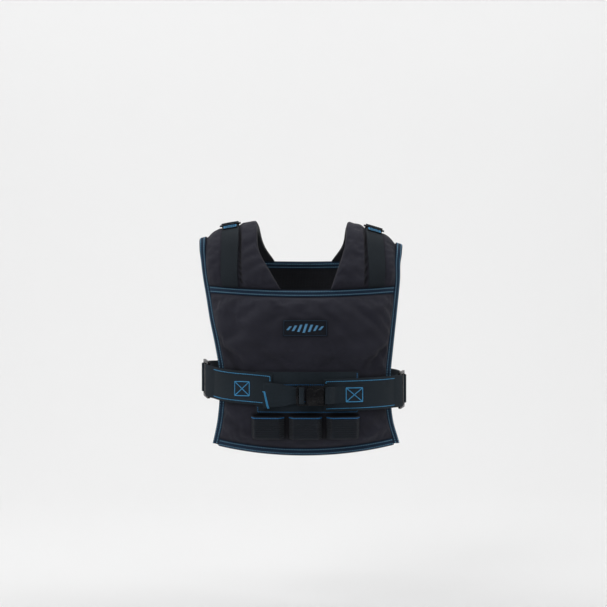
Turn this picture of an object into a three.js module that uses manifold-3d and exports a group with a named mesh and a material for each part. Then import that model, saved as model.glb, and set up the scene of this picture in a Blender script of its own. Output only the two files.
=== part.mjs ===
// A padded weight vest as it hangs on the shoulders: two padded panels joined by shoulder pads,
// bound edges, shoulder straps with sliders, and a waist belt with a side-release buckle.
// Millimetres. +X is to the right seen from the front, +Y runs from the chest to the back, +Z is up.
// The origin is midway between the shoulders, at the height where the pads rest on them.

import * as THREE from "three";
import Module from "manifold-3d";
import { mergeVertices } from "three/addons/utils/BufferGeometryUtils.js";

const wasm = await Module();
wasm.setup();

// Driving dimensions of the body of the vest.
const VEST_LENGTH = 423; // from the top of the shoulders down to the middle of the front hem
const SHOULDER_WIDTH = 398; // between the outer edges at the shoulders
const CHEST_DEPTH = 127; // from the shoulder line to the body side of the front panel
const BACK_DEPTH = 111; // from the shoulder line to the body side of the back panel
const SIDE_RECESS = 118; // how far the round of the chest would fall back at its widest
const ROUND_MARGIN = 16; // how far that round runs on past the vest's edge
const SHOULDER_SLOPE = 19; // fall of the shoulder from the neck to the outer edge
const SHOULDER_LEAN = 15; // how much lower the vest hangs on its right shoulder
const LEAN_START = 50; // that is so from here on, to the right of the middle
const LEAN_END = 199; // and in full from here
const NECK_WIDTH = 180; // across the neck opening at the top of the shoulders
const FRONT_BAND_DROP = 112; // from the shoulders down to the middle of the front band, at its ends
const BACK_BAND_DROP = 58; // the same for the back band
const BAND_DIP = 12; // how much lower the front band runs at its middle
const BACK_BAND_DIP = 6;
const HEM_RISE = 22; // how much higher the hem is at the sides than at its middle
const BACK_HEM_LIFT = 10; // how much higher the back hem hangs than the front hem

// Cloth, padding and tape.
const PANEL_PADDING = 23; // full thickness of the loaded panels
const SHOULDER_PADDING = 17; // full thickness of the shoulder pads
const RIM_THICKNESS = 4; // the panels' thickness where the tape grips them
const PUFF_REACH = 42; // from the rim to full padding
const TAPE = 1.4; // thickness of the binding tape
const TAPE_WIDTH = 13; // how far the tape folds over an edge
const SEAM_GAP = 0.5; // clearance between sewn layers
const SEWN_GAP = 0.8; // clearance under a piece that is sewn on a rounded panel
const STRAP_SINK = 3; // how deep a shoulder strap presses into its pad
const STRAP_DIP = 4.5; // how wide the pad's slope is beside a strap

// Shoulder straps.
const SHOULDER_STRAP_WIDTH = 32;
const STRAP_THICKNESS = 2;
const SLIDER_BAR = 4;
const SLIDER_SLOT = 5.5;
const SLIDER_THICKNESS = 3;
const SLIDER_SIDE = 2.8;
const SLIDER_EASE = 1.6; // how much wider its slots are than the strap, on each side
const TAB_WIDTH = 27;
const TAB_LENGTH = 15;

// Waist belt.
const BELT_DROP = 310; // from the shoulders down to the buckle
const BELT_WIDTH = 60;
const BELT_THICKNESS = 3;
const BELT_HALF_SPAN = 185; // half the belt's width round the body, seen from above
const BELT_FRONT_REACH = 139; // from the shoulder line to the panel under the buckle
const BELT_BACK_REACH = 112;
const BELT_ROUNDNESS = 2.8; // 2 is an ellipse, more is squarer
const BELT_LEFT_END = 58; // from the middle to the inner end of the left belt wing
const BELT_RIGHT_END = 36; // the same for the right one
const BACK_STRAP_WIDTH = 54;
const RING_PLACE = 173; // from the middle out to the side rings' front bars
const RING_SLOT = 14;
const RING_BAR = 4;
const RING_MARGIN = 4.5; // how far a ring stands past its belt, above and below
const HELD_MARGIN = 8; // how far beside the belt the panel is still held flat
const CLOTH_SWELL = 5; // how far it swells out beyond that
const SWELL_REACH = 28; // over this height

// Keeper patch with its two rails, behind the buckle.
const KEEPER_WIDTH = 180;
const KEEPER_HEIGHT = 79;
const KEEPER_CENTRE = 6; // to the right of the middle
const KEEPER_RISE = 6; // of its middle above the buckle's middle
const KEEPER_THICKNESS = 1.6;
const RAIL_WIDTH = 25;

// Buckle.
const BUCKLE_CENTRE = 13;
const BUCKLE_HEIGHT = 36.5;
const BUCKLE_THICKNESS = 10.5;
const SOCKET_LENGTH = 38;
const BUCKLE_STRAP_WIDTH = 31;
const STRAP_END_WIDTH = 48;
const LEFT_STRAP_END = 74;
const RIGHT_STRAP_END = 107;
const STRAP_RISE = 2; // how much higher the right strap ends than the buckle lies
const STRAP_RISE_LENGTH = 50;

// Pouches and the plain name patch.
const POUCH_WIDTH = 50;
const POUCH_HEIGHT = 42;
const POUCH_DEPTH = 21;
const POUCH_SPLAY = 4; // how much wider a pouch's foot is on each side
const POUCH_WALL = 2;
const POUCH_DROP = 349; // from the shoulders down to the pouches' mouths
const POUCH_PITCH = 65.5;
const POUCH_CENTRE = 2.5;
const PATCH_WIDTH = 77;
const PATCH_HEIGHT = 29;
const PATCH_DROP = 188;
const PATCH_CENTRE = 2;
const PATCH_THICKNESS = 1.6;

// The body's side profile, from the front hem over the shoulder to the back hem. path is the share
// of the way from the shoulder to the hem, reach the share of the depth in front or behind, drop the
// share of the length, recess and slope how much of the side recess and shoulder slope apply there.
const PROFILE = [
  { path: -1.0, reach: -0.945, drop: 1.0, recess: 0.86, slope: 0 },
  { path: -0.93, reach: -0.93, drop: 0.922, recess: 0.88, slope: 0 },
  { path: -0.85, reach: -0.932, drop: 0.827, recess: 0.9, slope: 0 },
  { path: -0.765, reach: -0.952, drop: 0.733, recess: 0.93, slope: 0 },
  { path: -0.68, reach: -0.984, drop: 0.638, recess: 0.97, slope: 0 },
  { path: -0.578, reach: -1.0, drop: 0.52, recess: 1.0, slope: 0 },
  { path: -0.475, reach: -0.978, drop: 0.402, recess: 1.0, slope: 0.03 },
  { path: -0.38, reach: -0.92, drop: 0.296, recess: 0.98, slope: 0.12 },
  { path: -0.293, reach: -0.819, drop: 0.201, recess: 0.86, slope: 0.32 },
  { path: -0.21, reach: -0.661, drop: 0.118, recess: 0.62, slope: 0.6 },
  { path: -0.13, reach: -0.457, drop: 0.052, recess: 0.32, slope: 0.85 },
  { path: -0.059, reach: -0.22, drop: 0.012, recess: 0.1, slope: 0.97 },
  { path: 0.0, reach: 0.0, drop: 0.0, recess: 0, slope: 1.0 },
  { path: 0.065, reach: 0.28, drop: 0.013, recess: 0.1, slope: 0.97 },
  { path: 0.14, reach: 0.575, drop: 0.06, recess: 0.34, slope: 0.82 },
  { path: 0.23, reach: 0.81, drop: 0.138, recess: 0.66, slope: 0.52 },
  { path: 0.32, reach: 0.94, drop: 0.232, recess: 0.9, slope: 0.24 },
  { path: 0.42, reach: 1.0, drop: 0.34, recess: 1.0, slope: 0.06 },
  { path: 0.53, reach: 0.99, drop: 0.458, recess: 1.0, slope: 0 },
  { path: 0.64, reach: 0.94, drop: 0.578, recess: 0.96, slope: 0 },
  { path: 0.75, reach: 0.875, drop: 0.698, recess: 0.92, slope: 0 },
  { path: 0.86, reach: 0.835, drop: 0.816, recess: 0.88, slope: 0 },
  { path: 1.0, reach: 0.83, drop: 0.976, recess: 0.86, slope: 0 },
];

// The outer edge, as shares of half the shoulder width, on the wearer's right and left hand seen
// from the front: left is -X and right is +X.
const OUTLINE = [
  { path: -1.0, left: 0.876, right: 0.915 },
  { path: -0.95, left: 0.85, right: 0.888 },
  { path: -0.87, left: 0.81, right: 0.833 },
  { path: -0.78, left: 0.79, right: 0.812 },
  { path: -0.68, left: 0.79, right: 0.812 },
  { path: -0.578, left: 0.831, right: 0.836 },
  { path: -0.475, left: 0.884, right: 0.864 },
  { path: -0.38, left: 0.922, right: 0.889 },
  { path: -0.293, left: 0.957, right: 0.908 },
  { path: -0.21, left: 0.98, right: 0.915 },
  { path: -0.13, left: 1.0, right: 0.935 },
  { path: 0.0, left: 1.012, right: 0.955 },
  { path: 0.14, left: 0.985, right: 0.94 },
  { path: 0.3, left: 0.935, right: 0.915 },
  { path: 0.46, left: 0.885, right: 0.87 },
  { path: 0.62, left: 0.825, right: 0.825 },
  { path: 0.76, left: 0.8, right: 0.815 },
  { path: 0.88, left: 0.82, right: 0.84 },
  { path: 1.0, left: 0.87, right: 0.9 },
];

// The neck edge of the shoulder pads, as shares of half the neck width.
const NECK_EDGE = [
  { path: -0.385, left: 0.4, right: 0.5 },
  { path: -0.3, left: 0.66, right: 0.65 },
  { path: -0.21, left: 0.91, right: 0.8 },
  { path: -0.11, left: 1.02, right: 0.91 },
  { path: 0.0, left: 1.06, right: 0.96 },
  { path: 0.09, left: 1.0, right: 0.93 },
  { path: 0.16, left: 0.88, right: 0.84 },
  { path: 0.23, left: 0.64, right: 0.6 },
];

// The middle of each shoulder strap, as shares of half the shoulder width.
const STRAP_LINE = [
  { path: -0.385, left: 0.673, right: 0.663 },
  { path: -0.17, left: 0.688, right: 0.663 },
  { path: 0.0, left: 0.703, right: 0.653 },
  { path: 0.25, left: 0.688, right: 0.643 },
];

// The belt's height round the waist. turn is the share of half the belt's girth from the front
// middle, negative to the left, and rise the lift over the buckle as a share of the belt's width.
const BELT_LINE = [
  { turn: -1.0, rise: 0.35 },
  { turn: -0.52, rise: 0.5 },
  { turn: -0.41, rise: 0.44 },
  { turn: -0.3, rise: 0.29 },
  { turn: -0.13, rise: 0.17 },
  { turn: 0.0, rise: 0.0 },
  { turn: 0.12, rise: 0.01 },
  { turn: 0.28, rise: 0.04 },
  { turn: 0.4, rise: 0.08 },
  { turn: 0.52, rise: 0.15 },
  { turn: 1.0, rise: 0.35 },
];

// Folds pressed into the front panel. across is a share of half the shoulder width and down a share
// of the length; reach and width are shares of the puff's reach, depth a share of the padding.
const FOLDS = [
  { across: -0.7, down: 0.585, lean: 40, reach: 1.15, width: 0.3, depth: 0.22 },
  { across: 0.66, down: 0.575, lean: -38, reach: 1.3, width: 0.3, depth: 0.24 },
  { across: -0.12, down: 0.6, lean: 62, reach: 0.8, width: 0.3, depth: 0.15 },
  { across: 0.24, down: 0.57, lean: -70, reach: 0.8, width: 0.28, depth: 0.13 },
  { across: 0.38, down: 0.37, lean: -35, reach: 0.8, width: 0.3, depth: 0.13 },
  { across: -0.4, down: 0.37, lean: 30, reach: 0.7, width: 0.3, depth: 0.1 },
];

const clamp = THREE.MathUtils.clamp;
const lerp = THREE.MathUtils.lerp;
const vec = (x, y, z) => new THREE.Vector3(x, y, z);

// A smooth curve through a table: one column's value at a place in another.
function through(rows, place, value) {
  const last = rows.length - 1;
  const slopes = rows.map((row, i) => {
    const before = rows[Math.max(i - 1, 0)];
    const after = rows[Math.min(i + 1, last)];
    return (after[value] - before[value]) / (after[place] - before[place]);
  });
  return (at) => {
    let i = 0;
    while (i < last - 1 && at > rows[i + 1][place]) i += 1;
    const [a, b] = [rows[i], rows[i + 1]];
    const span = b[place] - a[place];
    const u = clamp((at - a[place]) / span, 0, 1);
    const bend = u * u * (3 - 2 * u);
    const leave = u * (1 - u) * (1 - u) * span * slopes[i];
    const arrive = u * u * (u - 1) * span * slopes[i + 1];
    return lerp(a[value], b[value], bend) + leave + arrive;
  };
}

// The body's surface.
const profileRows = PROFILE.map((row) => ({
  path: row.path,
  y: row.reach * (row.path < 0 ? CHEST_DEPTH : BACK_DEPTH),
  z: -row.drop * VEST_LENGTH,
  recess: row.recess * SIDE_RECESS,
  slope: row.slope,
}));
const profileY = through(profileRows, "path", "y");
const profileZ = through(profileRows, "path", "z");
const profileRecess = through(profileRows, "path", "recess");
const profileSlope = through(profileRows, "path", "slope");
const outlineShare = { "-1": through(OUTLINE, "path", "left"), 1: through(OUTLINE, "path", "right") };
const strapShare = { "-1": through(STRAP_LINE, "path", "left"), 1: through(STRAP_LINE, "path", "right") };
const neckShare = { "-1": through(NECK_EDGE, "path", "left"), 1: through(NECK_EDGE, "path", "right") };

// A point of the body's surface. Past the round's own width the surface runs on straight.
function bodyPoint(path, x) {
  const halfRound = SHOULDER_WIDTH / 2 + ROUND_MARGIN;
  const across = Math.min(Math.abs(x) / halfRound, 0.97);
  const fallBack = 1 - Math.sqrt(1 - across * across);
  const shoulder = clamp(
    (Math.abs(x) - NECK_WIDTH / 2) / ((SHOULDER_WIDTH - NECK_WIDTH) / 2),
    0,
    1.1,
  );
  const side = path < 0 ? 1 : -1;
  const y = profileY(path) + side * profileRecess(path) * fallBack;
  const lean = SHOULDER_LEAN * THREE.MathUtils.smoothstep(x, LEAN_START, LEAN_END);
  return vec(x, y, profileZ(path) - profileSlope(path) * (SHOULDER_SLOPE * shoulder ** 1.6 + lean));
}

function alongBody(path, x) {
  const step = 0.004;
  const low = Math.max(path - step, -1);
  const high = Math.min(path + step, 1);
  return bodyPoint(high, x)
    .sub(bodyPoint(low, x))
    .divideScalar(high - low);
}

function acrossBody(path, x) {
  return bodyPoint(path, x + 1)
    .sub(bodyPoint(path, x - 1))
    .divideScalar(2);
}

const outward = (path, x) => acrossBody(path, x).cross(alongBody(path, x)).normalize();
const lifted = (path, x, out) => bodyPoint(path, x).addScaledVector(outward(path, x), out);

// The path at which the surface reaches a height, on the front (-1) or the back (1).
function pathAt(side, x, z) {
  let [near, far] = [0, 1];
  for (let i = 0; i < 30; i += 1) {
    const middle = (near + far) / 2;
    if (bodyPoint(side * middle, x).z > z) near = middle;
    else far = middle;
  }
  return (side * (near + far)) / 2;
}

// Moves a place into the panel from its outer edge, or along the body, by a length on the surface.
const insideEdge = (path, hand, length) => {
  const edge = (hand * outlineShare[hand](path) * SHOULDER_WIDTH) / 2;
  return edge - (hand * length) / acrossBody(path, edge).length();
};
const insideNeck = (path, hand, length) => {
  const edge = (hand * neckShare[hand](path) * NECK_WIDTH) / 2;
  return edge + (hand * length) / acrossBody(path, edge).length();
};
const pathMoved = (path, x, length) => path + length / alongBody(path, x).length();

// Heights of the bands' middles and of the hems. A dip is a parabola across the vest.
const bow = (x) => clamp((2 * x) / SHOULDER_WIDTH, -1, 1) ** 2;
function bandPath(side, x) {
  const [drop, dip] = side < 0 ? [FRONT_BAND_DROP, BAND_DIP] : [BACK_BAND_DROP, BACK_BAND_DIP];
  return pathAt(side, x, -drop - dip * (1 - bow(x)));
}
function hemPath(side, x) {
  const lift = side < 0 ? 0 : BACK_HEM_LIFT;
  return pathAt(side, x, -VEST_LENGTH + lift + HEM_RISE * bow(x));
}
// The places where panel and tape meet: a panel runs from under its band to inside its hem tape.
const panelTop = (side, x) => pathMoved(bandPath(side, x), x, side * (TAPE + SEAM_GAP - TAPE_WIDTH / 2));
const panelFoot = (side, x) => pathMoved(hemPath(side, x), x, -side * (TAPE + SEAM_GAP));
const rimTop = (side, x) => pathMoved(panelTop(side, x), x, side * TAPE_WIDTH);
const rimFoot = (side, x) => pathMoved(panelFoot(side, x), x, -side * TAPE_WIDTH);
const padEnd = (side, x) => pathMoved(bandPath(side, x), x, -side * (TAPE_WIDTH / 2 + SEAM_GAP));

// The belt's line round the waist, seen from above.
const GIRTH_STEPS = 720;
const girthPoints = [];
for (let i = 0; i <= GIRTH_STEPS; i += 1) {
  const angle = lerp(-Math.PI, Math.PI, i / GIRTH_STEPS);
  const power = 2 / BELT_ROUNDNESS;
  const ahead = Math.cos(angle);
  const reach = ahead > 0 ? -BELT_FRONT_REACH : BELT_BACK_REACH;
  const x = BELT_HALF_SPAN * Math.sign(Math.sin(angle)) * Math.abs(Math.sin(angle)) ** power;
  const y = reach * Math.abs(ahead) ** power;
  const before = girthPoints.at(-1);
  const length = before ? before.length + Math.hypot(x - before.x, y - before.y) : 0;
  girthPoints.push({ x, y, length });
}
const FRONT_MIDDLE = girthPoints[GIRTH_STEPS / 2].length;

// A turn is a length round the belt from the front middle, and runs on past the back middle.
const wrapTurn = (turn) => turn - 2 * FRONT_MIDDLE * Math.round(turn / (2 * FRONT_MIDDLE));

function girthAt(turn) {
  const wanted = wrapTurn(turn) + FRONT_MIDDLE;
  let i = 0;
  while (i < GIRTH_STEPS - 1 && girthPoints[i + 1].length < wanted) i += 1;
  const [a, b] = [girthPoints[i], girthPoints[i + 1]];
  const u = (wanted - a.length) / (b.length - a.length);
  const along = vec(b.x - a.x, b.y - a.y, 0).normalize();
  return { at: vec(lerp(a.x, b.x, u), lerp(a.y, b.y, u), 0), along, out: vec(along.y, -along.x, 0) };
}

// The length round the belt from the front middle to a place x across the front.
function turnTo(x) {
  const wanted = clamp(x, -BELT_HALF_SPAN, BELT_HALF_SPAN);
  let i = GIRTH_STEPS / 4;
  while (i < (GIRTH_STEPS * 3) / 4 && girthPoints[i].x < wanted) i += 1;
  return girthPoints[i].length - FRONT_MIDDLE;
}

const beltRise = through(BELT_LINE, "turn", "rise");
const beltHeight = (turn) => -BELT_DROP + beltRise(wrapTurn(turn) / FRONT_MIDDLE) * BELT_WIDTH;
// The buckle and its straps lie level, and only the right strap's end rises with the belt.
const pastSocket = (turn) => clamp((turn - BUCKLE_CENTRE - SOCKET_LENGTH) / STRAP_RISE_LENGTH, 0, 1);
const buckleHeight = (turn) => -BELT_DROP + STRAP_RISE * pastSocket(turn);

function beltPoint(turn, out, up, height = beltHeight) {
  const { at, out: away } = girthAt(turn);
  return at.clone().addScaledVector(away, out).setZ(height(turn) + up);
}

// How far a panel's outer face may stand from the shoulder line where the belt holds it in.
function beltLimit(side, x, z) {
  const share = Math.min(Math.abs(x) / BELT_HALF_SPAN, 1);
  const reach = side < 0 ? BELT_FRONT_REACH : BELT_BACK_REACH;
  const held = reach * (1 - share ** BELT_ROUNDNESS) ** (1 / BELT_ROUNDNESS);
  const turn = side < 0 ? turnTo(x) : Math.sign(x || 1) * FRONT_MIDDLE - turnTo(x);
  const away = Math.max(Math.abs(z - beltHeight(turn)) - BELT_WIDTH / 2 - HELD_MARGIN, 0);
  return held + CLOTH_SWELL * (away / SWELL_REACH) ** 2;
}

// A round shoulder from 0 at the rim to 1 at full padding.
const puff = (share) => Math.sqrt(1 - (1 - clamp(share, 0, 1)) ** 2);

function foldDepth(x, z) {
  let depth = 0;
  for (const fold of FOLDS) {
    const dx = x - (fold.across * SHOULDER_WIDTH) / 2;
    const dz = z + fold.down * VEST_LENGTH;
    const lean = THREE.MathUtils.degToRad(fold.lean);
    const along = (dx * Math.cos(lean) - dz * Math.sin(lean)) / (fold.reach * PUFF_REACH);
    const off = (dx * Math.sin(lean) + dz * Math.cos(lean)) / (fold.width * PUFF_REACH);
    depth += fold.depth * Math.exp(-along * along - off * off);
  }
  return depth;
}

// Thickness of a panel: thin at the tape, round near it and full inside.
function panelThickness(side, path, x) {
  const z = bodyPoint(path, x).z;
  const hand = x < 0 ? -1 : 1;
  const run = alongBody(path, x).length();
  const fromSide = Math.abs(insideEdge(path, hand, TAPE_WIDTH)) - Math.abs(x);
  const fromTop = side * (path - rimTop(side, x)) * run;
  const fromFoot = side * (rimFoot(side, x) - path) * run;
  const full = puff(fromSide / PUFF_REACH) * puff(fromTop / PUFF_REACH) * puff(fromFoot / PUFF_REACH);
  const pressed = side < 0 ? 1 - foldDepth(x, z) * full : 1;
  return RIM_THICKNESS + (PANEL_PADDING - RIM_THICKNESS) * full * pressed;
}

// A point on, or just off, a panel's outer face.
function onPanel(side, path, x, off = 0) {
  const point = lifted(path, x, panelThickness(side, path, x));
  const limit = beltLimit(side, point.x, point.z);
  if (side * point.y > limit) point.y = side * Math.max(limit, side * lifted(path, x, RIM_THICKNESS).y);
  return point.addScaledVector(outward(path, x), off);
}

// A closed solid through rows of sections. Each section is a strip with an outer and an inner line
// of as many points, so the ends close as ladders.
function loft(rows) {
  const points = [];
  const triangles = [];
  const count = rows[0].outer.length;
  for (const row of rows) points.push(...row.outer, ...row.inner);
  const outer = (i, j) => i * 2 * count + j;
  const inner = (i, j) => outer(i, j) + count;
  const quad = (a, b, c, d) => triangles.push(a, b, c, a, c, d);
  for (let i = 0; i < rows.length - 1; i += 1) {
    for (let j = 0; j < count - 1; j += 1) {
      quad(outer(i, j), outer(i, j + 1), outer(i + 1, j + 1), outer(i + 1, j));
      quad(inner(i, j), inner(i + 1, j), inner(i + 1, j + 1), inner(i, j + 1));
    }
    quad(inner(i, 0), outer(i, 0), outer(i + 1, 0), inner(i + 1, 0));
    quad(outer(i, count - 1), inner(i, count - 1), inner(i + 1, count - 1), outer(i + 1, count - 1));
  }
  const end = rows.length - 1;
  for (let j = 0; j < count - 1; j += 1) {
    quad(outer(0, j + 1), outer(0, j), inner(0, j), inner(0, j + 1));
    quad(outer(end, j), outer(end, j + 1), inner(end, j + 1), inner(end, j));
  }
  return facingOut(points, triangles);
}

function facingOut(points, triangles) {
  let volume = 0;
  for (let i = 0; i < triangles.length; i += 3) {
    const [a, b, c] = [0, 1, 2].map((k) => points[triangles[i + k]]);
    volume += a.dot(b.clone().cross(c));
  }
  if (volume < 0) triangles.reverse();
  const geometry = new THREE.BufferGeometry().setFromPoints(points);
  geometry.setIndex(triangles);
  return geometry;
}

// Solids for cutting and joining.
function solidOf(geometry) {
  const bare = new THREE.BufferGeometry();
  bare.setAttribute("position", geometry.getAttribute("position"));
  if (geometry.index) bare.setIndex(geometry.index);
  const merged = mergeVertices(bare, 1e-4);
  const vertProperties = merged.getAttribute("position").array;
  const triVerts = new Uint32Array(merged.index.array);
  return new wasm.Manifold(new wasm.Mesh({ numProp: 3, vertProperties, triVerts }));
}

function geometryOf(solid) {
  const mesh = solid.getMesh();
  const geometry = new THREE.BufferGeometry();
  geometry.setAttribute("position", new THREE.BufferAttribute(mesh.vertProperties, 3));
  geometry.setIndex(new THREE.BufferAttribute(mesh.triVerts, 1));
  return geometry;
}

const steps = (from, to, count) => Array.from({ length: count + 1 }, (_, i) => lerp(from, to, i / count));
// The same, closer together near both ends, where the body turns more.
const closing = (from, to, count) =>
  steps(-1, 1, count).map((u) => lerp(from, to, (1 + lerp(u, Math.sin((u * Math.PI) / 2), 0.6)) / 2));
const stepsOf = (from, to, size) => steps(from, to, Math.max(2, Math.ceil(Math.abs(to - from) / size)));

// Materials.
const finish = (color, roughness, metalness = 0) =>
  new THREE.MeshStandardMaterial({ color, roughness, metalness });
const MATERIALS = {
  canvas: finish(0x2a2a32, 0.88),
  webbing: finish(0x23292e, 0.8),
  tape: finish(0x12314a, 0.75),
  plastic: finish(0x15161a, 0.38),
};

const vest = new THREE.Group();
function piece(name, material, geometry) {
  const mesh = new THREE.Mesh(geometry, MATERIALS[material]);
  mesh.name = name;
  vest.add(mesh);
  return mesh;
}

// The two loaded panels.
const PANEL_ROWS = 18;
const PANEL_COLUMNS = 15;

// Where a line across the vest is a length inside its outer edge.
function edgeOn(hand, pathOf, inside) {
  let x = (hand * SHOULDER_WIDTH) / 2;
  for (let i = 0; i < 6; i += 1) x = insideEdge(pathOf(x), hand, inside);
  return x;
}

function panel(side) {
  const between = (row) => (x) => lerp(rimTop(side, x), rimFoot(side, x), row);
  const lines = [(x) => panelTop(side, x), ...steps(0, 1, PANEL_ROWS).map(between), (x) => panelFoot(side, x)];
  const rows = lines.map((pathOf) => {
    const padded = closing(edgeOn(-1, pathOf, TAPE_WIDTH), edgeOn(1, pathOf, TAPE_WIDTH), PANEL_COLUMNS);
    const inTape = TAPE + SEAM_GAP;
    const xs = [edgeOn(-1, pathOf, inTape), ...padded, edgeOn(1, pathOf, inTape)];
    return {
      outer: xs.map((x) => onPanel(side, pathOf(x), x)),
      inner: xs.map((x) => bodyPoint(pathOf(x), x)),
    };
  });
  return loft(rows);
}

// The shoulder pads run from the front band over the shoulder to the back band.
const NECK_ROUND = 12;
const strapMiddle = (path, hand) => (hand * strapShare[hand](path) * SHOULDER_WIDTH) / 2;
// Width across a strap is measured on the slope, so it is a little less than that along X.
const strapScale = (path, hand) => acrossBody(path, strapMiddle(path, hand)).length();
const fromStrap = (path, x, hand) =>
  Math.abs(x - strapMiddle(path, hand)) * strapScale(path, hand) - SHOULDER_STRAP_WIDTH / 2;

function padThickness(path, x, hand) {
  const fromSide = hand * (insideEdge(path, hand, TAPE_WIDTH) - x);
  const fromNeck = hand * (x - insideNeck(path, hand, 0));
  const run = alongBody(path, x).length();
  const fromEnd = Math.min(path - padEnd(-1, x), padEnd(1, x) - path) * run;
  const side = puff(fromSide / (PUFF_REACH * 0.6));
  const neck = lerp(0.55, 1, puff(fromNeck / NECK_ROUND));
  const end = lerp(0.12, 1, puff(fromEnd / PUFF_REACH));
  const full = RIM_THICKNESS + (SHOULDER_PADDING - RIM_THICKNESS) * side * neck * end;
  const underStrap = clamp(1 - fromStrap(path, x, hand) / STRAP_DIP, 0, 1);
  return full - STRAP_SINK * underStrap * end * side;
}

const onPad = (path, x, hand, off = 0) => lifted(path, x, padThickness(path, x, hand) + off);

// The slider's place, and the lines across the pad that both the pad and its strap are built on.
const SLIDER_PATH = -0.02;
const SLIDER_EDGE = SLIDER_BAR / 2 + SLIDER_SLOT;
const SLIDER_LIFT = STRAP_THICKNESS + SEAM_GAP + SEWN_GAP;
const sliderRun = (() => {
  const [from, to] = [-0.02, 0.02].map((aside) => onPad(SLIDER_PATH + aside, strapMiddle(SLIDER_PATH, 1), 1, SLIDER_LIFT));
  return from.distanceTo(to) / 0.04;
})();
const PAD_FRONT_ROWS = 10;
const PAD_BACK_ROWS = 9;

function padLines() {
  const barEdge = SLIDER_BAR / 2 + SEAM_GAP;
  const lengths = [-SLIDER_EDGE - SLIDER_BAR, -SLIDER_EDGE, -barEdge, barEdge, SLIDER_EDGE, SLIDER_EDGE + SLIDER_BAR];
  const atSlider = lengths.map((length) => SLIDER_PATH + length / sliderRun);
  const front = steps(0, 1, PAD_FRONT_ROWS).slice(0, -1);
  const back = steps(0, 1, PAD_BACK_ROWS).slice(1);
  return [
    ...front.map((share) => (x) => lerp(padEnd(-1, x), atSlider[0], share)),
    ...atSlider.map((path) => (_) => path),
    ...back.map((share) => (x) => lerp(atSlider.at(-1), padEnd(1, x), share)),
  ];
}

// Tape folded round an edge. at(along, into, out) gives a point along the edge, into the cloth from
// the edge, and out from the body.
function binding(places, at) {
  const skin = RIM_THICKNESS + SEAM_GAP;
  return loft(
    places.map((along) => ({
      outer: [
        at(along, TAPE_WIDTH, -SEAM_GAP - TAPE),
        at(along, 0, -SEAM_GAP - TAPE),
        at(along, 0, skin + TAPE),
        at(along, TAPE_WIDTH, skin + TAPE),
      ],
      inner: [
        at(along, TAPE_WIDTH, -SEAM_GAP),
        at(along, TAPE, -SEAM_GAP),
        at(along, TAPE, skin),
        at(along, TAPE_WIDTH, skin),
      ],
    })),
  );
}

const BINDING_STEPS = 14; // beside each panel
const BAND_STEPS = 22;

function sideBinding(hand) {
  const edge = (hand * SHOULDER_WIDTH) / 2;
  const besidePad = padLines().map((pathOf) => pathOf(edge));
  const places = [
    ...closing(hemPath(-1, edge * 0.9), besidePad[0], BINDING_STEPS),
    ...besidePad.slice(1),
    ...closing(besidePad.at(-1), hemPath(1, edge * 0.88), BINDING_STEPS).slice(1),
  ];
  return binding(places, (path, into, out) => lifted(path, insideEdge(path, hand, into), out));
}

// Tape on an edge that runs across the vest, from one side binding to the other.
function crossBinding(edgePath, inwards) {
  return binding(closing(0, 1, BAND_STEPS), (share, into, out) => {
    const pathOf = (x) => pathMoved(edgePath(x), x, inwards * into);
    const ends = [-1, 1].map((hand) => edgeOn(hand, pathOf, TAPE_WIDTH + 2 * SEAM_GAP));
    const x = lerp(ends[0], ends[1], share);
    return lifted(pathOf(x), x, out);
  });
}

const bandBinding = (side) =>
  crossBinding((x) => pathMoved(bandPath(side, x), x, (-side * TAPE_WIDTH) / 2), side);
const hemBinding = (side) => crossBinding((x) => hemPath(side, x), -side);

function settle(pathOf, place, start) {
  let x = start;
  for (let i = 0; i < 6; i += 1) x = place(pathOf(x));
  return x;
}

function besideStrap(pathOf, hand, off) {
  const place = (path) => strapMiddle(path, hand) + (hand * off) / strapScale(path, hand);
  return settle(pathOf, place, strapMiddle(0, hand));
}

function shoulderPad(hand) {
  const half = SHOULDER_STRAP_WIDTH / 2;
  const rows = padLines().map((pathOf) => {
    const at = (place) => settle(pathOf, place, strapMiddle(0, hand));
    const neck = at((path) => insideNeck(path, hand, 0));
    const rim = at((path) => insideEdge(path, hand, TAPE_WIDTH));
    const strapIn = besideStrap(pathOf, hand, -half - STRAP_DIP);
    const strapOut = besideStrap(pathOf, hand, half + STRAP_DIP);
    const xs = [
      neck,
      lerp(neck, strapIn, 0.15),
      lerp(neck, strapIn, 0.5),
      strapIn,
      besideStrap(pathOf, hand, -half),
      besideStrap(pathOf, hand, half),
      strapOut,
      lerp(strapOut, rim, 0.6),
      rim,
      at((path) => insideEdge(path, hand, TAPE + SEAM_GAP)),
    ];
    return {
      outer: xs.map((x) => onPad(pathOf(x), x, hand)),
      inner: xs.map((x) => bodyPoint(pathOf(x), x)),
    };
  });
  return loft(rows);
}

// A shoulder strap lies on its pad and climbs over the middle bar of its slider.
function strapClimb(fromSlider) {
  const full = SLIDER_LIFT + SLIDER_THICKNESS + SEAM_GAP;
  const ramp = SLIDER_SLOT - SEAM_GAP;
  return full * clamp((SLIDER_EDGE - Math.abs(fromSlider)) / ramp, 0, 1);
}

function shoulderStrap(hand) {
  const half = SHOULDER_STRAP_WIDTH / 2;
  const rows = padLines().map((pathOf) => {
    const xs = [-half, half].map((off) => besideStrap(pathOf, hand, off));
    const at = (x, off) => {
      const path = pathOf(x);
      const climb = strapClimb((path - SLIDER_PATH) * sliderRun);
      return onPad(path, x, hand, SEAM_GAP + off + climb);
    };
    return { outer: xs.map((x) => at(x, STRAP_THICKNESS)), inner: xs.map((x) => at(x, 0)) };
  });
  return loft(rows);
}

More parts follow.
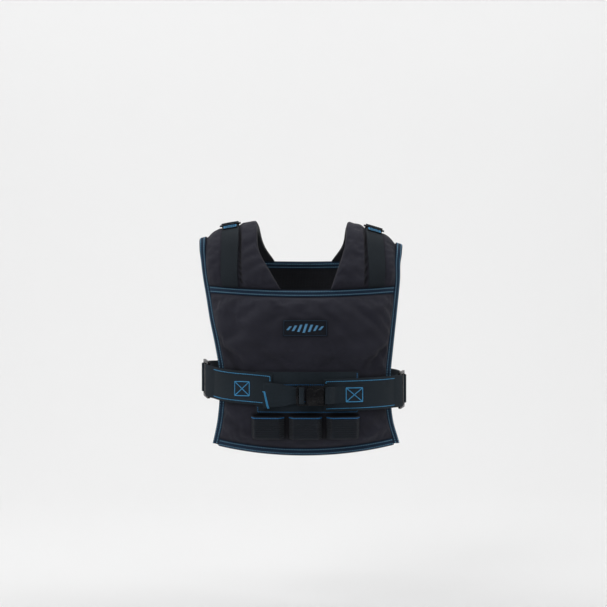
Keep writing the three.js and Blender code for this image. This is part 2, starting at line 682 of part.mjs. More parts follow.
// A frame seated on a pad: its own X runs across the strap, Y along it towards the back, Z outwards.
function padSeat(path, hand, off) {
  const x = strapMiddle(path, hand);
  const across = acrossBody(path, x).normalize();
  const out = outward(path, x);
  const along = out.clone().cross(across);
  const at = onPad(path, x, hand, off);
  return new THREE.Matrix4().makeBasis(across, along, out).setPosition(at);
}

// A flat frame with rounded corners and slots across it, lying in its own XY plane.
function slottedFrame(width, length, radius, slots, slotWidth, thickness) {
  const [w, h] = [width / 2, length / 2];
  const outline = new THREE.Shape();
  outline.moveTo(-w + radius, -h);
  outline.lineTo(w - radius, -h).absarc(w - radius, -h + radius, radius, -Math.PI / 2, 0, false);
  outline.lineTo(w, h - radius).absarc(w - radius, h - radius, radius, 0, Math.PI / 2, false);
  outline.lineTo(-w + radius, h).absarc(-w + radius, h - radius, radius, Math.PI / 2, Math.PI, false);
  outline.lineTo(-w, -h + radius).absarc(-w + radius, -h + radius, radius, Math.PI, Math.PI * 1.5, false);
  for (const [from, to] of slots) {
    const slot = new THREE.Path();
    slot.moveTo(-slotWidth / 2, from);
    slot.lineTo(-slotWidth / 2, to);
    slot.lineTo(slotWidth / 2, to);
    slot.lineTo(slotWidth / 2, from);
    slot.closePath();
    outline.holes.push(slot);
  }
  return new THREE.ExtrudeGeometry(outline, { depth: thickness, bevelEnabled: false, curveSegments: 3 });
}

function shoulderSlider(hand) {
  const slotWidth = SHOULDER_STRAP_WIDTH + 2 * SLIDER_EASE;
  const slots = [
    [-SLIDER_EDGE, -SLIDER_BAR / 2],
    [SLIDER_BAR / 2, SLIDER_EDGE],
  ];
  const length = 3 * SLIDER_BAR + 2 * SLIDER_SLOT;
  const width = slotWidth + 2 * SLIDER_SIDE;
  const frame = slottedFrame(width, length, SLIDER_SIDE, slots, slotWidth, SLIDER_THICKNESS);
  return frame.applyMatrix4(padSeat(SLIDER_PATH, hand, SLIDER_LIFT));
}

// The strap's sewn end, folded flat in front of the slider.
function shoulderTab(hand) {
  const front = SLIDER_PATH - (SLIDER_EDGE + SLIDER_BAR + 3 * SEAM_GAP) / sliderRun;
  const rows = steps(front - TAB_LENGTH / sliderRun, front, 2).map((path) => {
    const xs = [-TAB_WIDTH / 2, TAB_WIDTH / 2].map((off) => besideStrap((_) => path, hand, hand * off));
    return {
      outer: xs.map((x) => onPad(path, x, hand, SLIDER_LIFT + STRAP_THICKNESS)),
      inner: xs.map((x) => onPad(path, x, hand, SLIDER_LIFT)),
    };
  });
  return loft(rows);
}

// A strap that follows a line of places, each a turn round the belt and a distance out from it.
function strapAlong(line, thickness, edges, height = beltHeight) {
  const count = line.length;
  const sides = line.map(([turn, out], i) => {
    const [before, after] = [line[Math.max(i - 1, 0)], line[Math.min(i + 1, count - 1)]];
    const [run, climb] = [after[0] - before[0], after[1] - before[1]];
    const scale = thickness / 2 / Math.hypot(run, climb);
    return { turn, out, aside: -climb * scale, off: run * scale };
  });
  const place = (sign, up) =>
    sides.map((at) => beltPoint(at.turn + sign * at.aside, at.out + sign * at.off, up(at.turn), height));
  return loft(edges.map((up) => ({ outer: place(1, up), inner: place(-1, up) })));
}

const spread = (width) => [(_) => -width / 2, (_) => width / 2];

// Points round a bar, from the strap's outer run, over its far side and back to its inner run.
function roundBar(bar, out, radius, towards) {
  return steps(90, -90, 6).map((degrees) => {
    const angle = THREE.MathUtils.degToRad(degrees);
    return [bar + towards * radius * Math.cos(angle), out + radius * Math.sin(angle)];
  });
}

// Distances out from the belt's line of the layers at the front.
const RAIL_OUT = SEWN_GAP + KEEPER_THICKNESS + SEAM_GAP;
const WING_OUT = RAIL_OUT + KEEPER_THICKNESS + SEAM_GAP + BELT_THICKNESS / 2;
const STRAP_OUT = WING_OUT + BELT_THICKNESS / 2 + SEAM_GAP + STRAP_THICKNESS / 2;
const BUCKLE_OUT = STRAP_OUT + STRAP_THICKNESS / 2 + SEAM_GAP;
const RING_OUT = WING_OUT + BELT_THICKNESS / 2;

// A ring is a frame with two slots: the wing folds round its front bar, the back strap its rear bar.
const RING_REACH = RING_SLOT + RING_BAR; // from the ring's middle bar to an outer bar
const RING_HEIGHT = BELT_WIDTH + 2 * SEAM_GAP;
const barTurn = (hand, bar) => turnTo(hand * RING_PLACE) + hand * (1 + bar) * RING_REACH;
const foldRadius = (thickness) => (RING_BAR / 2) * Math.SQRT2 + SEAM_GAP + thickness / 2;

function sideRing(hand) {
  const slots = [
    [-RING_REACH + RING_BAR / 2, -RING_BAR / 2],
    [RING_BAR / 2, RING_REACH - RING_BAR / 2],
  ];
  const length = 2 * RING_REACH + RING_BAR;
  const frame = slottedFrame(RING_HEIGHT + 2 * RING_MARGIN, length, RING_MARGIN, slots, RING_HEIGHT, RING_BAR);
  frame.translate(0, 0, -RING_BAR / 2);
  const place = frame.getAttribute("position");
  for (let i = 0; i < place.count; i += 1) {
    const point = beltPoint(barTurn(hand, 0) + place.getY(i), RING_OUT + place.getZ(i), -place.getX(i));
    place.setXYZ(i, point.x, point.y, point.z);
  }
  return frame;
}

// The wings of the belt: from their inner ends to a fold round the ring's front bar.
function beltWing(hand) {
  const end = turnTo(hand < 0 ? -BELT_LEFT_END : BELT_RIGHT_END);
  const bar = barTurn(hand, -1);
  const radius = foldRadius(BELT_THICKNESS);
  const run = stepsOf(end, bar - hand * 20, 12).map((turn) => [turn, WING_OUT]);
  const fold = roundBar(bar, RING_OUT, radius, hand);
  const tail = [bar - hand * 5, RING_OUT - radius];
  return strapAlong([...run, ...fold, tail], BELT_THICKNESS, spread(BELT_WIDTH));
}

// One strap sewn across the back, folded round the rear bar of each ring.
const BACK_RUN_STEPS = 26;
const BACK_SETTLE = 100; // over this length the back strap comes down to the panel
function backStrap() {
  const radius = foldRadius(STRAP_THICKNESS);
  const [right, left] = [barTurn(1, 1), barTurn(-1, 1) + 2 * FRONT_MIDDLE];
  const outAt = (turn) => {
    const fromBar = Math.min(turn - right, left - turn);
    return lerp(RING_OUT + radius, 2 * SEAM_GAP + STRAP_THICKNESS, puff(fromBar / BACK_SETTLE));
  };
  const end = (bar, towards) => [[bar - towards * 10, RING_OUT - radius], ...roundBar(bar, RING_OUT, radius, towards).reverse()];
  const run = steps(right + 8, left - 8, BACK_RUN_STEPS).map((turn) => [turn, outAt(turn)]);
  const line = [...end(right, -1), ...run, ...end(left, 1).reverse()];
  return strapAlong(line, STRAP_THICKNESS, spread(BACK_STRAP_WIDTH));
}

// A flat piece sewn on the front panel, between two heights and two places across.
function sewnOn(left, right, top, foot, off, thickness) {
  const rows = stepsOf(top, foot, 14).map((z) => {
    const columns = stepsOf(left, right, 14).map((x) => ({ x, path: pathAt(-1, x, z) }));
    return {
      outer: columns.map(({ path, x }) => onPanel(-1, path, x, off + thickness)),
      inner: columns.map(({ path, x }) => onPanel(-1, path, x, off)),
    };
  });
  return loft(rows);
}

const keeperLeft = KEEPER_CENTRE - KEEPER_WIDTH / 2;
const keeperRight = KEEPER_CENTRE + KEEPER_WIDTH / 2;
const keeperTop = -BELT_DROP + KEEPER_RISE + KEEPER_HEIGHT / 2;
const keeperFoot = keeperTop - KEEPER_HEIGHT;
const keeperPatch = () => sewnOn(keeperLeft, keeperRight, keeperTop, keeperFoot, SEWN_GAP, KEEPER_THICKNESS);
const keeperRail = (top) =>
  sewnOn(keeperLeft + 1, keeperRight - 1, top, top - RAIL_WIDTH, RAIL_OUT, KEEPER_THICKNESS);

const namePatch = () =>
  sewnOn(
    PATCH_CENTRE - PATCH_WIDTH / 2,
    PATCH_CENTRE + PATCH_WIDTH / 2,
    -PATCH_DROP + PATCH_HEIGHT / 2,
    -PATCH_DROP - PATCH_HEIGHT / 2,
    SEWN_GAP,
    PATCH_THICKNESS,
  );

// The buckle lies in its own frame: X along the belt to the right, Y up, Z outwards. Its pieces
// follow each other from the plug's outer bar on the left to the socket's end bar on the right.
const PLUG_START = -28.5;
const OUTER_BAR = 4;
const LADDER_SLOT = 5;
const MIDDLE_BAR = 4;
const INNER_BAR = 2.8;
const MIDDLE_BAR_START = PLUG_START + OUTER_BAR + LADDER_SLOT;
const PLUG_END = MIDDLE_BAR_START + MIDDLE_BAR + LADDER_SLOT + INNER_BAR;
const PLUG_SKIN = 1.2; // how much thinner the plug is than the socket, at front and back
const SOCKET_START = PLUG_END + 2 * SEAM_GAP;
const SOCKET_END = SOCKET_START + SOCKET_LENGTH;
const SOCKET_SKIN = 2;
const SOCKET_RAIL = 3.7;
const SOCKET_BAR = 3.5;
const END_BAR_SKIN = 2.2; // how much thinner the end bar is than the socket, at front and back
const WEB_SLOT = 5;
const WINDOW_START = 9.5;
const WINDOW_LENGTH = 14.7;
const BUCKLE_CORNER = 4;
const BUCKLE_FIT = 0.5;
const ARM_WIDTH = 5.2;

function outlineOf(points) {
  const shape = new THREE.Shape();
  points.forEach(([x, y], i) => (i ? shape.lineTo(x, y) : shape.moveTo(x, y)));
  shape.closePath();
  return shape;
}

function plate(points, from, to) {
  const geometry = new THREE.ExtrudeGeometry(outlineOf(points), { depth: to - from, bevelEnabled: false });
  return solidOf(geometry.translate(0, 0, from));
}

const rectangle = (left, right, top) => [
  [left, -top],
  [right, -top],
  [right, top],
  [left, top],
];

// A rectangle whose corners are cut at the ends that are asked for.
const cutRectangle = (left, right, top, cutLeft, cutRight) => [
  [left + cutLeft, -top],
  [right - cutRight, -top],
  [right, -top + cutRight],
  [right, top - cutRight],
  [right - cutRight, top],
  [left + cutLeft, top],
  [left, top - cutLeft],
  [left, -top + cutLeft],
];

function buckleSeat(geometry) {
  const turn = turnTo(BUCKLE_CENTRE);
  const { along, out } = girthAt(turn);
  const seat = new THREE.Matrix4().makeBasis(along, vec(0, 0, 1), out);
  return geometry.applyMatrix4(seat.setPosition(beltPoint(turn, BUCKLE_OUT, 0, buckleHeight)));
}

// Moves a place of a strap from the belt's curve out to the flat buckle's plane.
function atBuckle([turn, out]) {
  const seat = girthAt(turnTo(BUCKLE_CENTRE));
  const { at, out: away } = girthAt(turn);
  return [turn, out + seat.at.clone().sub(at).dot(seat.out) / away.dot(seat.out)];
}

const buckleTop = BUCKLE_HEIGHT / 2;
const webTop = BUCKLE_STRAP_WIDTH / 2 + 2 * SEAM_GAP;

function buckleSocket() {
  const window = SOCKET_START + WINDOW_START;
  const hollow = [SOCKET_SKIN, BUCKLE_THICKNESS - SOCKET_SKIN];
  const slot = SOCKET_END - SOCKET_BAR;
  const mouth = rectangle(SOCKET_START - 1, slot - WEB_SLOT - 2.5, buckleTop - SOCKET_RAIL);
  const endBar = rectangle(slot - 0.1, SOCKET_END + 1, webTop);
  const cuts = [
    plate(mouth, ...hollow),
    plate(rectangle(window, window + WINDOW_LENGTH, buckleTop + 1), ...hollow),
    plate(rectangle(slot - WEB_SLOT, slot, webTop), -1, BUCKLE_THICKNESS + 1),
    plate(endBar, BUCKLE_THICKNESS - END_BAR_SKIN, BUCKLE_THICKNESS + 1),
    plate(endBar, -1, END_BAR_SKIN),
  ];
  const body = plate(cutRectangle(SOCKET_START, SOCKET_END, buckleTop, 1.2, BUCKLE_CORNER), 0, BUCKLE_THICKNESS);
  return buckleSeat(geometryOf(cuts.reduce((left, cut) => left.subtract(cut), body)));
}

function bucklePlug() {
  const armTop = buckleTop - SOCKET_RAIL - BUCKLE_FIT;
  const armFoot = armTop - ARM_WIDTH;
  const buttonStart = SOCKET_START + WINDOW_START + BUCKLE_FIT;
  const buttonEnd = buttonStart + WINDOW_LENGTH - 2 * BUCKLE_FIT;
  const body = plate(
    cutRectangle(PLUG_START, PLUG_END, buckleTop, BUCKLE_CORNER, 0.8),
    PLUG_SKIN,
    BUCKLE_THICKNESS - PLUG_SKIN,
  );
  const ladder = [PLUG_START + OUTER_BAR, MIDDLE_BAR_START + MIDDLE_BAR].map((start) =>
    plate(rectangle(start, start + LADDER_SLOT, webTop), -1, BUCKLE_THICKNESS + 1),
  );
  const arm = (sign) =>
    plate(
      [
        [PLUG_END - 1, sign * armTop],
        [buttonStart, sign * armTop],
        [buttonStart, sign * (buckleTop + 0.4)],
        [buttonEnd, sign * (buckleTop - 1.6)],
        [buttonEnd, sign * armFoot],
        [PLUG_END - 1, sign * armFoot],
      ],
      SOCKET_SKIN + BUCKLE_FIT,
      BUCKLE_THICKNESS - SOCKET_SKIN - BUCKLE_FIT,
    );
  const frame = ladder.reduce((left, cut) => left.subtract(cut), body);
  return buckleSeat(geometryOf(frame.add(arm(1)).add(arm(-1))));
}

// The left strap comes off the belt, under the plug's outer bar and over its middle bar.
function leftStrap() {
  const zero = turnTo(BUCKLE_CENTRE);
  const start = turnTo(-LEFT_STRAP_END);
  const reach = SEAM_GAP + STRAP_THICKNESS / 2;
  const over = BUCKLE_OUT + BUCKLE_THICKNESS - PLUG_SKIN + reach;
  const bar = zero + MIDDLE_BAR_START;
  const [before, after] = [bar - reach - 0.4, bar + MIDDLE_BAR + reach + 0.4];
  const line = [
    ...stepsOf(start, zero + PLUG_START, 10).map((turn) => [turn, STRAP_OUT]),
    ...[
      [before - 2, STRAP_OUT],
      [before, STRAP_OUT + 2.4],
      [before, over - 1.4],
      [before + 1.4, over],
      [after - 1.4, over],
      [after, over - 1.4],
      [after, BUCKLE_OUT + PLUG_SKIN],
    ].map(atBuckle),
  ];
  const half = (turn) => {
    const share = clamp((turn - start) / (zero + PLUG_START - start), 0, 1);
    return lerp(STRAP_END_WIDTH, BUCKLE_STRAP_WIDTH, share ** 1.4) / 2;
  };
  return strapAlong(line, STRAP_THICKNESS, [(turn) => -half(turn), (turn) => half(turn)], buckleHeight);
}

// The right strap is folded round the socket's end bar and sewn down on the right wing.
function rightStrap() {
  const zero = turnTo(BUCKLE_CENTRE);
  const end = turnTo(RIGHT_STRAP_END);
  const reach = SEWN_GAP + STRAP_THICKNESS / 2;
  const bar = zero + SOCKET_END - SOCKET_BAR;
  const before = bar - reach - 0.3;
  const over = BUCKLE_OUT + BUCKLE_THICKNESS - END_BAR_SKIN + reach;
  const line = [
    [bar + 11, STRAP_OUT],
    ...[
      [before + 2, STRAP_OUT],
      [before, STRAP_OUT + 2],
      [before, over - 1.2],
      [before + 1.2, over],
      [bar + SOCKET_BAR, over],
      [bar + SOCKET_BAR + 5, over - 3.4],
    ].map(atBuckle),
    [bar + SOCKET_BAR + 11, STRAP_OUT + STRAP_THICKNESS + SEAM_GAP],
    ...stepsOf(bar + SOCKET_BAR + 16, end, 10).map((turn) => [turn, STRAP_OUT]),
  ];
  return strapAlong(line, STRAP_THICKNESS, spread(BUCKLE_STRAP_WIDTH), buckleHeight);
}

// A pouch: a front and two splayed sides of one strip, with a floor. The panel is its back.
const POUCH_ROWS = 5;
const POUCH_CORNER = 3;

function pouchSection(centre, z, inside, back) {
  const half = POUCH_WIDTH / 2 - inside;
  const foot = half + POUCH_SPLAY;
  const onFace = (x, off) => onPanel(-1, pathAt(-1, x, z), x, off).setZ(z);
  const middle = onFace(centre, POUCH_DEPTH - inside);
  const across = onFace(centre + foot, 0)
    .sub(onFace(centre - foot, 0))
    .normalize();
  const out = vec(across.y, -across.x, 0);
  const front = (u, off) => middle.clone().addScaledVector(across, u).addScaledVector(out, off);
  const feet = [-1, -0.6, -0.2, 0.2, 0.6, 1].map((share) => centre + share * foot);
  return {
    outer: [
      onFace(centre - foot, POUCH_WALL),
      front(-half, -POUCH_CORNER),
      front(-half + POUCH_CORNER, 0),
      front(half - POUCH_CORNER, 0),
      front(half, -POUCH_CORNER),
      onFace(centre + foot, POUCH_WALL),
    ],
    inner: feet.map((x) => onFace(x, back)),
  };
}

function pouch(centre) {
  const [top, foot] = [-POUCH_DROP, -POUCH_DROP - POUCH_HEIGHT];
  const block = steps(top, foot, POUCH_ROWS).map((z) => pouchSection(centre, z, 0, SEWN_GAP));
  const hollow = steps(top + POUCH_WALL, foot + POUCH_WALL, POUCH_ROWS).map((z) =>
    pouchSection(centre, z, POUCH_WALL, -POUCH_WALL),
  );
  return geometryOf(solidOf(loft(block)).subtract(solidOf(loft(hollow))));
}

const HANDS = [
  ["left", -1],
  ["right", 1],
];

piece("front_panel", "canvas", panel(-1));
piece("back_panel", "canvas", panel(1));
piece("front_band", "tape", bandBinding(-1));
piece("back_band", "tape", bandBinding(1));
piece("front_hem", "tape", hemBinding(-1));
piece("back_hem", "tape", hemBinding(1));
for (const [hand, sign] of HANDS) {
  piece(`shoulder_pad_${hand}`, "canvas", shoulderPad(sign));
  piece(`side_binding_${hand}`, "tape", sideBinding(sign));
  piece(`shoulder_strap_${hand}`, "webbing", shoulderStrap(sign));
  piece(`shoulder_slider_${hand}`, "plastic", shoulderSlider(sign));
  piece(`shoulder_tab_${hand}`, "webbing", shoulderTab(sign));
  piece(`belt_wing_${hand}`, "webbing", beltWing(sign));
  piece(`side_ring_${hand}`, "plastic", sideRing(sign));
}
piece("belt_back_strap", "webbing", backStrap());
piece("keeper_patch", "canvas", keeperPatch());
piece("keeper_rail_top", "webbing", keeperRail(keeperTop - 1));
piece("keeper_rail_foot", "webbing", keeperRail(keeperFoot + RAIL_WIDTH + 1));
piece("buckle_plug", "plastic", bucklePlug());
piece("buckle_socket", "plastic", buckleSocket());
piece("buckle_strap_left", "webbing", leftStrap());
piece("buckle_strap_right", "webbing", rightStrap());
piece("name_patch", "webbing", namePatch());
[-1, 0, 1].forEach((place, i) => {
  piece(`pouch_${i + 1}`, "webbing", pouch(POUCH_CENTRE + place * POUCH_PITCH));
});

export default vest;
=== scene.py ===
"""A padded weight vest held up in its worn form: filled panels, shoulder pads, bound edges,
webbing straps, a waist belt with a side-release buckle, three pouches and a plain woven patch.

Lengths are millimetres until a mesh is made, and the meshes are in metres. A path is the share of
the way over the body from the shoulder (0) to the front hem (-1) or to the back hem (1)."""

import math

import bmesh
import bpy
import numpy as np
from mathutils import Matrix, Vector


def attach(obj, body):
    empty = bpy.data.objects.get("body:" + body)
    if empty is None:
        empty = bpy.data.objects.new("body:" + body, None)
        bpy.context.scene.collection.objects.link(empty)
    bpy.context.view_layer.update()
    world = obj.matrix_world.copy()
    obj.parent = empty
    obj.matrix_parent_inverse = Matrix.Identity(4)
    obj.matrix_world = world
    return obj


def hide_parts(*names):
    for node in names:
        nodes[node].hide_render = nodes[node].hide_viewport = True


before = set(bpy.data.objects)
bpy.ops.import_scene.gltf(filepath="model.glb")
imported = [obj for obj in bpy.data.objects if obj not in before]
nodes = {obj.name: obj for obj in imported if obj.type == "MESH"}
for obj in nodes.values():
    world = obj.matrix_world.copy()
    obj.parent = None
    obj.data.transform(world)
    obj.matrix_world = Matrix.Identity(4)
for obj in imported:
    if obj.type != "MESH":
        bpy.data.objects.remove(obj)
bpy.ops.object.select_all(action="DESELECT")
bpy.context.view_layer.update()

MM = 0.001
FRONT, BACK = -1, 1
LEFT, RIGHT = -1, 1
SIDES = (("front", FRONT), ("back", BACK))
HANDS = (("left", LEFT), ("right", RIGHT))

# The body of the vest, as the solids have it.
VEST_LENGTH = 423
SHOULDER_WIDTH = 398
CHEST_DEPTH = 127
BACK_DEPTH = 111
SIDE_RECESS = 118
HALF_ROUND = SHOULDER_WIDTH / 2 + 16
SHOULDER_SLOPE = 19
SHOULDER_LEAN = 15
LEAN_START, LEAN_END = 50, 199
NECK_WIDTH = 180
BAND_DROPS = {FRONT: (112, 12), BACK: (58, 6)}
HEM_RISE = 22
BACK_HEM_LIFT = 10

# Cloth, padding and tape.
PANEL_PADDING = 23
SHOULDER_PADDING = 17
RIM_THICKNESS = 4
PUFF_REACH = 42
TAPE = 1.4
TAPE_WIDTH = 13
SEAM_GAP = 0.5
SEWN_GAP = 0.8
STRAP_SINK = 3
STRAP_DIP = 4.5
PANEL_FILL = 0.8
PAD_FILL = 0.7
PANEL_SWELL = 5
PAD_SWELL = 3
CLOTH_ROUNDING = 0.28

# Shoulder straps and sliders.
SHOULDER_STRAP_WIDTH = 32
STRAP_THICKNESS = 2
SLIDER_PATH = -0.02
SLIDER_BAR = 4
SLIDER_SLOT = 5.5
SLIDER_THICKNESS = 3
SLIDER_EDGE = SLIDER_BAR / 2 + SLIDER_SLOT
SLIDER_LIFT = STRAP_THICKNESS + SEAM_GAP + SEWN_GAP
TAB_WIDTH = 27
TAB_LENGTH = 15
SLIDER_ROUNDING = 0.8

# Waist belt.
BELT_DROP = 310
BELT_WIDTH = 60
BELT_THICKNESS = 3
BELT_HALF_SPAN = 185
BELT_REACH = {FRONT: 139, BACK: 112}
BELT_ROUNDNESS = 2.8
BELT_ENDS = {LEFT: -58, RIGHT: 36}
BACK_STRAP_WIDTH = 54
RING_PLACE = 173
RING_SLOT = 14
RING_BAR = 4
RING_ROUNDING = 1.2
HELD_MARGIN = 8
CLOTH_SWELL = 5
SWELL_REACH = 28

# Keeper patch, buckle, pouches and name patch.
KEEPER_WIDTH = 180
KEEPER_HEIGHT = 79
KEEPER_CENTRE = 6
KEEPER_TOP = -BELT_DROP + 6 + KEEPER_HEIGHT / 2
KEEPER_THICKNESS = 1.6
RAIL_WIDTH = 25
RAIL_INSET = 1
RAIL_SEAM_INSET = 2.5
RAIL_SEAM_ENDS = 4
BUCKLE_CENTRE = 13
PLUG_ROUNDING = 0.7
SOCKET_ROUNDING = 0.9
BUCKLE_THICKNESS = 10.5
SOCKET_LENGTH = 38
BUCKLE_STRAP_WIDTH = 31
STRAP_END_WIDTH = 48
LEFT_STRAP_END = -74
RIGHT_STRAP_END = 107
STRAP_RISE = 2
STRAP_RISE_LENGTH = 50
POUCH_COUNT = 3
POUCH_WIDTH = 50
POUCH_HEIGHT = 42
POUCH_DEPTH = 21
POUCH_SPLAY = 4
POUCH_WALL = 2
POUCH_DROP = 349
POUCH_PITCH = 65.5
POUCH_CENTRE = 2.5
PATCH_WIDTH = 77
PATCH_HEIGHT = 29
PATCH_DROP = 188
PATCH_CENTRE = 2
PATCH_THICKNESS = 1.6

# Path, reach, drop, side recess and shoulder slope, down the middle of the body.
PROFILE = (
    (-1.0, -0.945, 1.0, 0.86, 0),
    (-0.93, -0.93, 0.922, 0.88, 0),
    (-0.85, -0.932, 0.827, 0.9, 0),
    (-0.765, -0.952, 0.733, 0.93, 0),
    (-0.68, -0.984, 0.638, 0.97, 0),
    (-0.578, -1.0, 0.52, 1.0, 0),
    (-0.475, -0.978, 0.402, 1.0, 0.03),
    (-0.38, -0.92, 0.296, 0.98, 0.12),
    (-0.293, -0.819, 0.201, 0.86, 0.32),
    (-0.21, -0.661, 0.118, 0.62, 0.6),
    (-0.13, -0.457, 0.052, 0.32, 0.85),
    (-0.059, -0.22, 0.012, 0.1, 0.97),
    (0.0, 0.0, 0.0, 0, 1.0),
    (0.065, 0.28, 0.013, 0.1, 0.97),
    (0.14, 0.575, 0.06, 0.34, 0.82),
    (0.23, 0.81, 0.138, 0.66, 0.52),
    (0.32, 0.94, 0.232, 0.9, 0.24),
    (0.42, 1.0, 0.34, 1.0, 0.06),
    (0.53, 0.99, 0.458, 1.0, 0),
    (0.64, 0.94, 0.578, 0.96, 0),
    (0.75, 0.875, 0.698, 0.92, 0),
    (0.86, 0.835, 0.816, 0.88, 0),
    (1.0, 0.83, 0.976, 0.86, 0),
)
# Path, then the outer edge on the left and on the right, as shares of half the shoulder width.
OUTLINE = (
    (-1.0, 0.876, 0.915),
    (-0.95, 0.85, 0.888),
    (-0.87, 0.81, 0.833),
    (-0.78, 0.79, 0.812),
    (-0.68, 0.79, 0.812),
    (-0.578, 0.831, 0.836),
    (-0.475, 0.884, 0.864),
    (-0.38, 0.922, 0.889),
    (-0.293, 0.957, 0.908),
    (-0.21, 0.98, 0.915),
    (-0.13, 1.0, 0.935),
    (0.0, 1.012, 0.955),
    (0.14, 0.985, 0.94),
    (0.3, 0.935, 0.915),
    (0.46, 0.885, 0.87),
    (0.62, 0.825, 0.825),
    (0.76, 0.8, 0.815),
    (0.88, 0.82, 0.84),
    (1.0, 0.87, 0.9),
)
# Path, then the neck edge as shares of half the neck width.
NECK_EDGE = (
    (-0.385, 0.4, 0.5),
    (-0.3, 0.66, 0.65),
    (-0.21, 0.91, 0.8),
    (-0.11, 1.02, 0.91),
    (0.0, 1.06, 0.96),
    (0.09, 1.0, 0.93),
    (0.16, 0.88, 0.84),
    (0.23, 0.64, 0.6),
)
# Path, then the middles of the shoulder straps, as shares of half the shoulder width.
STRAP_LINE = (
    (-0.385, 0.673, 0.663),
    (-0.17, 0.688, 0.663),
    (0.0, 0.703, 0.653),
    (0.25, 0.688, 0.643),
)
# Share of half the belt's girth from the front middle, then its lift as a share of its width.
BELT_LINE = (
    (-1.0, 0.35),
    (-0.52, 0.5),
    (-0.41, 0.44),
    (-0.3, 0.29),
    (-0.13, 0.17),
    (0.0, 0.0),
    (0.12, 0.01),
    (0.28, 0.04),
    (0.4, 0.08),
    (0.52, 0.15),
    (1.0, 0.35),
)
# Place across and down, lean, reach, width and depth of the folds pressed into the front panel.
FOLDS = (
    (-0.7, 0.585, 40, 1.15, 0.3, 0.22),
    (0.66, 0.575, -38, 1.3, 0.3, 0.24),
    (-0.12, 0.6, 62, 0.8, 0.3, 0.15),
    (0.24, 0.57, -70, 0.8, 0.28, 0.13),
    (0.38, 0.37, -35, 0.8, 0.3, 0.13),
    (-0.4, 0.37, 30, 0.7, 0.3, 0.1),
)


# Small helpers for numbers and points.


def lerp(a, b, share):
    return a + (b - a) * share


def smoothstep(value, low, high):
    u = np.clip((value - low) / (high - low), 0, 1)
    return u * u * (3 - 2 * u)


def puff(share):
    """A round shoulder from 0 at the rim to 1 at full padding."""
    return np.sqrt(1 - (1 - np.clip(share, 0, 1)) ** 2)


def unit(vectors):
    return vectors / np.linalg.norm(vectors, axis=-1, keepdims=True)


def quarter_turn(radius, count):
    """Places on a quarter circle: how far along its start, and how far off it."""
    angles = np.linspace(0, math.pi / 2, count)
    return [(radius * math.sin(a), radius * (1 - math.cos(a))) for a in angles]


def through(rows, column):
    """A smooth curve through a table: a column's value at a place in the first column."""
    at = np.array([row[0] for row in rows], float)
    value = np.array([row[column] for row in rows], float)
    last = len(rows) - 1
    before = np.maximum(np.arange(last + 1) - 1, 0)
    after = np.minimum(np.arange(last + 1) + 1, last)
    slope = (value[after] - value[before]) / (at[after] - at[before])

    place = np.linspace(at[0], at[-1], 2001)
    i = np.clip(np.searchsorted(at, place) - 1, 0, last - 1)
    span = at[i + 1] - at[i]
    u = (place - at[i]) / span
    leave = u * (1 - u) ** 2 * span * slope[i]
    arrive = u * u * (u - 1) * span * slope[i + 1]
    fine = lerp(value[i], value[i + 1], u * u * (3 - 2 * u)) + leave + arrive
    return lambda wanted: np.interp(wanted, place, fine)


# The body's surface.

profile_reach, profile_drop, profile_recess, profile_slope = (through(PROFILE, i) for i in (1, 2, 3, 4))
outline_share = {LEFT: through(OUTLINE, 1), RIGHT: through(OUTLINE, 2)}
neck_share = {LEFT: through(NECK_EDGE, 1), RIGHT: through(NECK_EDGE, 2)}
strap_share = {LEFT: through(STRAP_LINE, 1), RIGHT: through(STRAP_LINE, 2)}
belt_rise = through(BELT_LINE, 1)


def shoulder_sink(x):
    shoulder = np.clip((2 * np.abs(x) - NECK_WIDTH) / (SHOULDER_WIDTH - NECK_WIDTH), 0, 1.1)
    return SHOULDER_SLOPE * shoulder**1.6 + SHOULDER_LEAN * smoothstep(x, LEAN_START, LEAN_END)


def body_point(path, x):
    path, x = np.broadcast_arrays(np.asarray(path, float), np.asarray(x, float))
    across = np.minimum(np.abs(x) / HALF_ROUND, 0.97)
    fall_back = SIDE_RECESS * profile_recess(path) * (1 - np.sqrt(1 - across**2))
    front = path < 0
    y = profile_reach(path) * np.where(front, CHEST_DEPTH, BACK_DEPTH) + np.where(front, 1, -1) * fall_back
    z = -VEST_LENGTH * profile_drop(path) - profile_slope(path) * shoulder_sink(x)
    return np.stack([x, y, z], -1)


def along_body(path, x):
    low = np.maximum(path - 0.004, -1)
    high = np.minimum(path + 0.004, 1)
    return (body_point(high, x) - body_point(low, x)) / np.asarray(high - low)[..., None]


def across_body(path, x):
    return (body_point(path, x + 1) - body_point(path, x - 1)) / 2


def outward(path, x):
    return unit(np.cross(across_body(path, x), along_body(path, x)))


def lifted(path, x, out):
    return body_point(path, x) + outward(path, x) * np.asarray(out)[..., None]


def path_at(side, x, z):
    """The path at which the surface reaches a height, on the front or the back."""
    x, z = np.broadcast_arrays(np.asarray(x, float), np.asarray(z, float))
    sink = shoulder_sink(x)
    middle, step = np.full(x.shape, 0.5), 0.25
    for _ in range(20):
        path = side * middle
        above = -VEST_LENGTH * profile_drop(path) - profile_slope(path) * sink > z
        middle = middle + np.where(above, step, -step)
        step /= 2
    return side * middle


def run_length(path, x):
    return np.linalg.norm(along_body(path, x), axis=-1)


def inside_edge(path, hand, length):
    edge = hand * outline_share[hand](path) * SHOULDER_WIDTH / 2
    return edge - hand * length / np.linalg.norm(across_body(path, edge), axis=-1)


def inside_neck(path, hand, length):
    edge = hand * neck_share[hand](path) * NECK_WIDTH / 2
    return edge + hand * length / np.linalg.norm(across_body(path, edge), axis=-1)


def path_moved(path, x, length):
    return path + length / run_length(path, x)


def bow(x):
    return np.clip(2 * x / SHOULDER_WIDTH, -1, 1) ** 2


def band_path(side, x):
    drop, dip = BAND_DROPS[side]
    return path_at(side, x, -drop - dip * (1 - bow(x)))


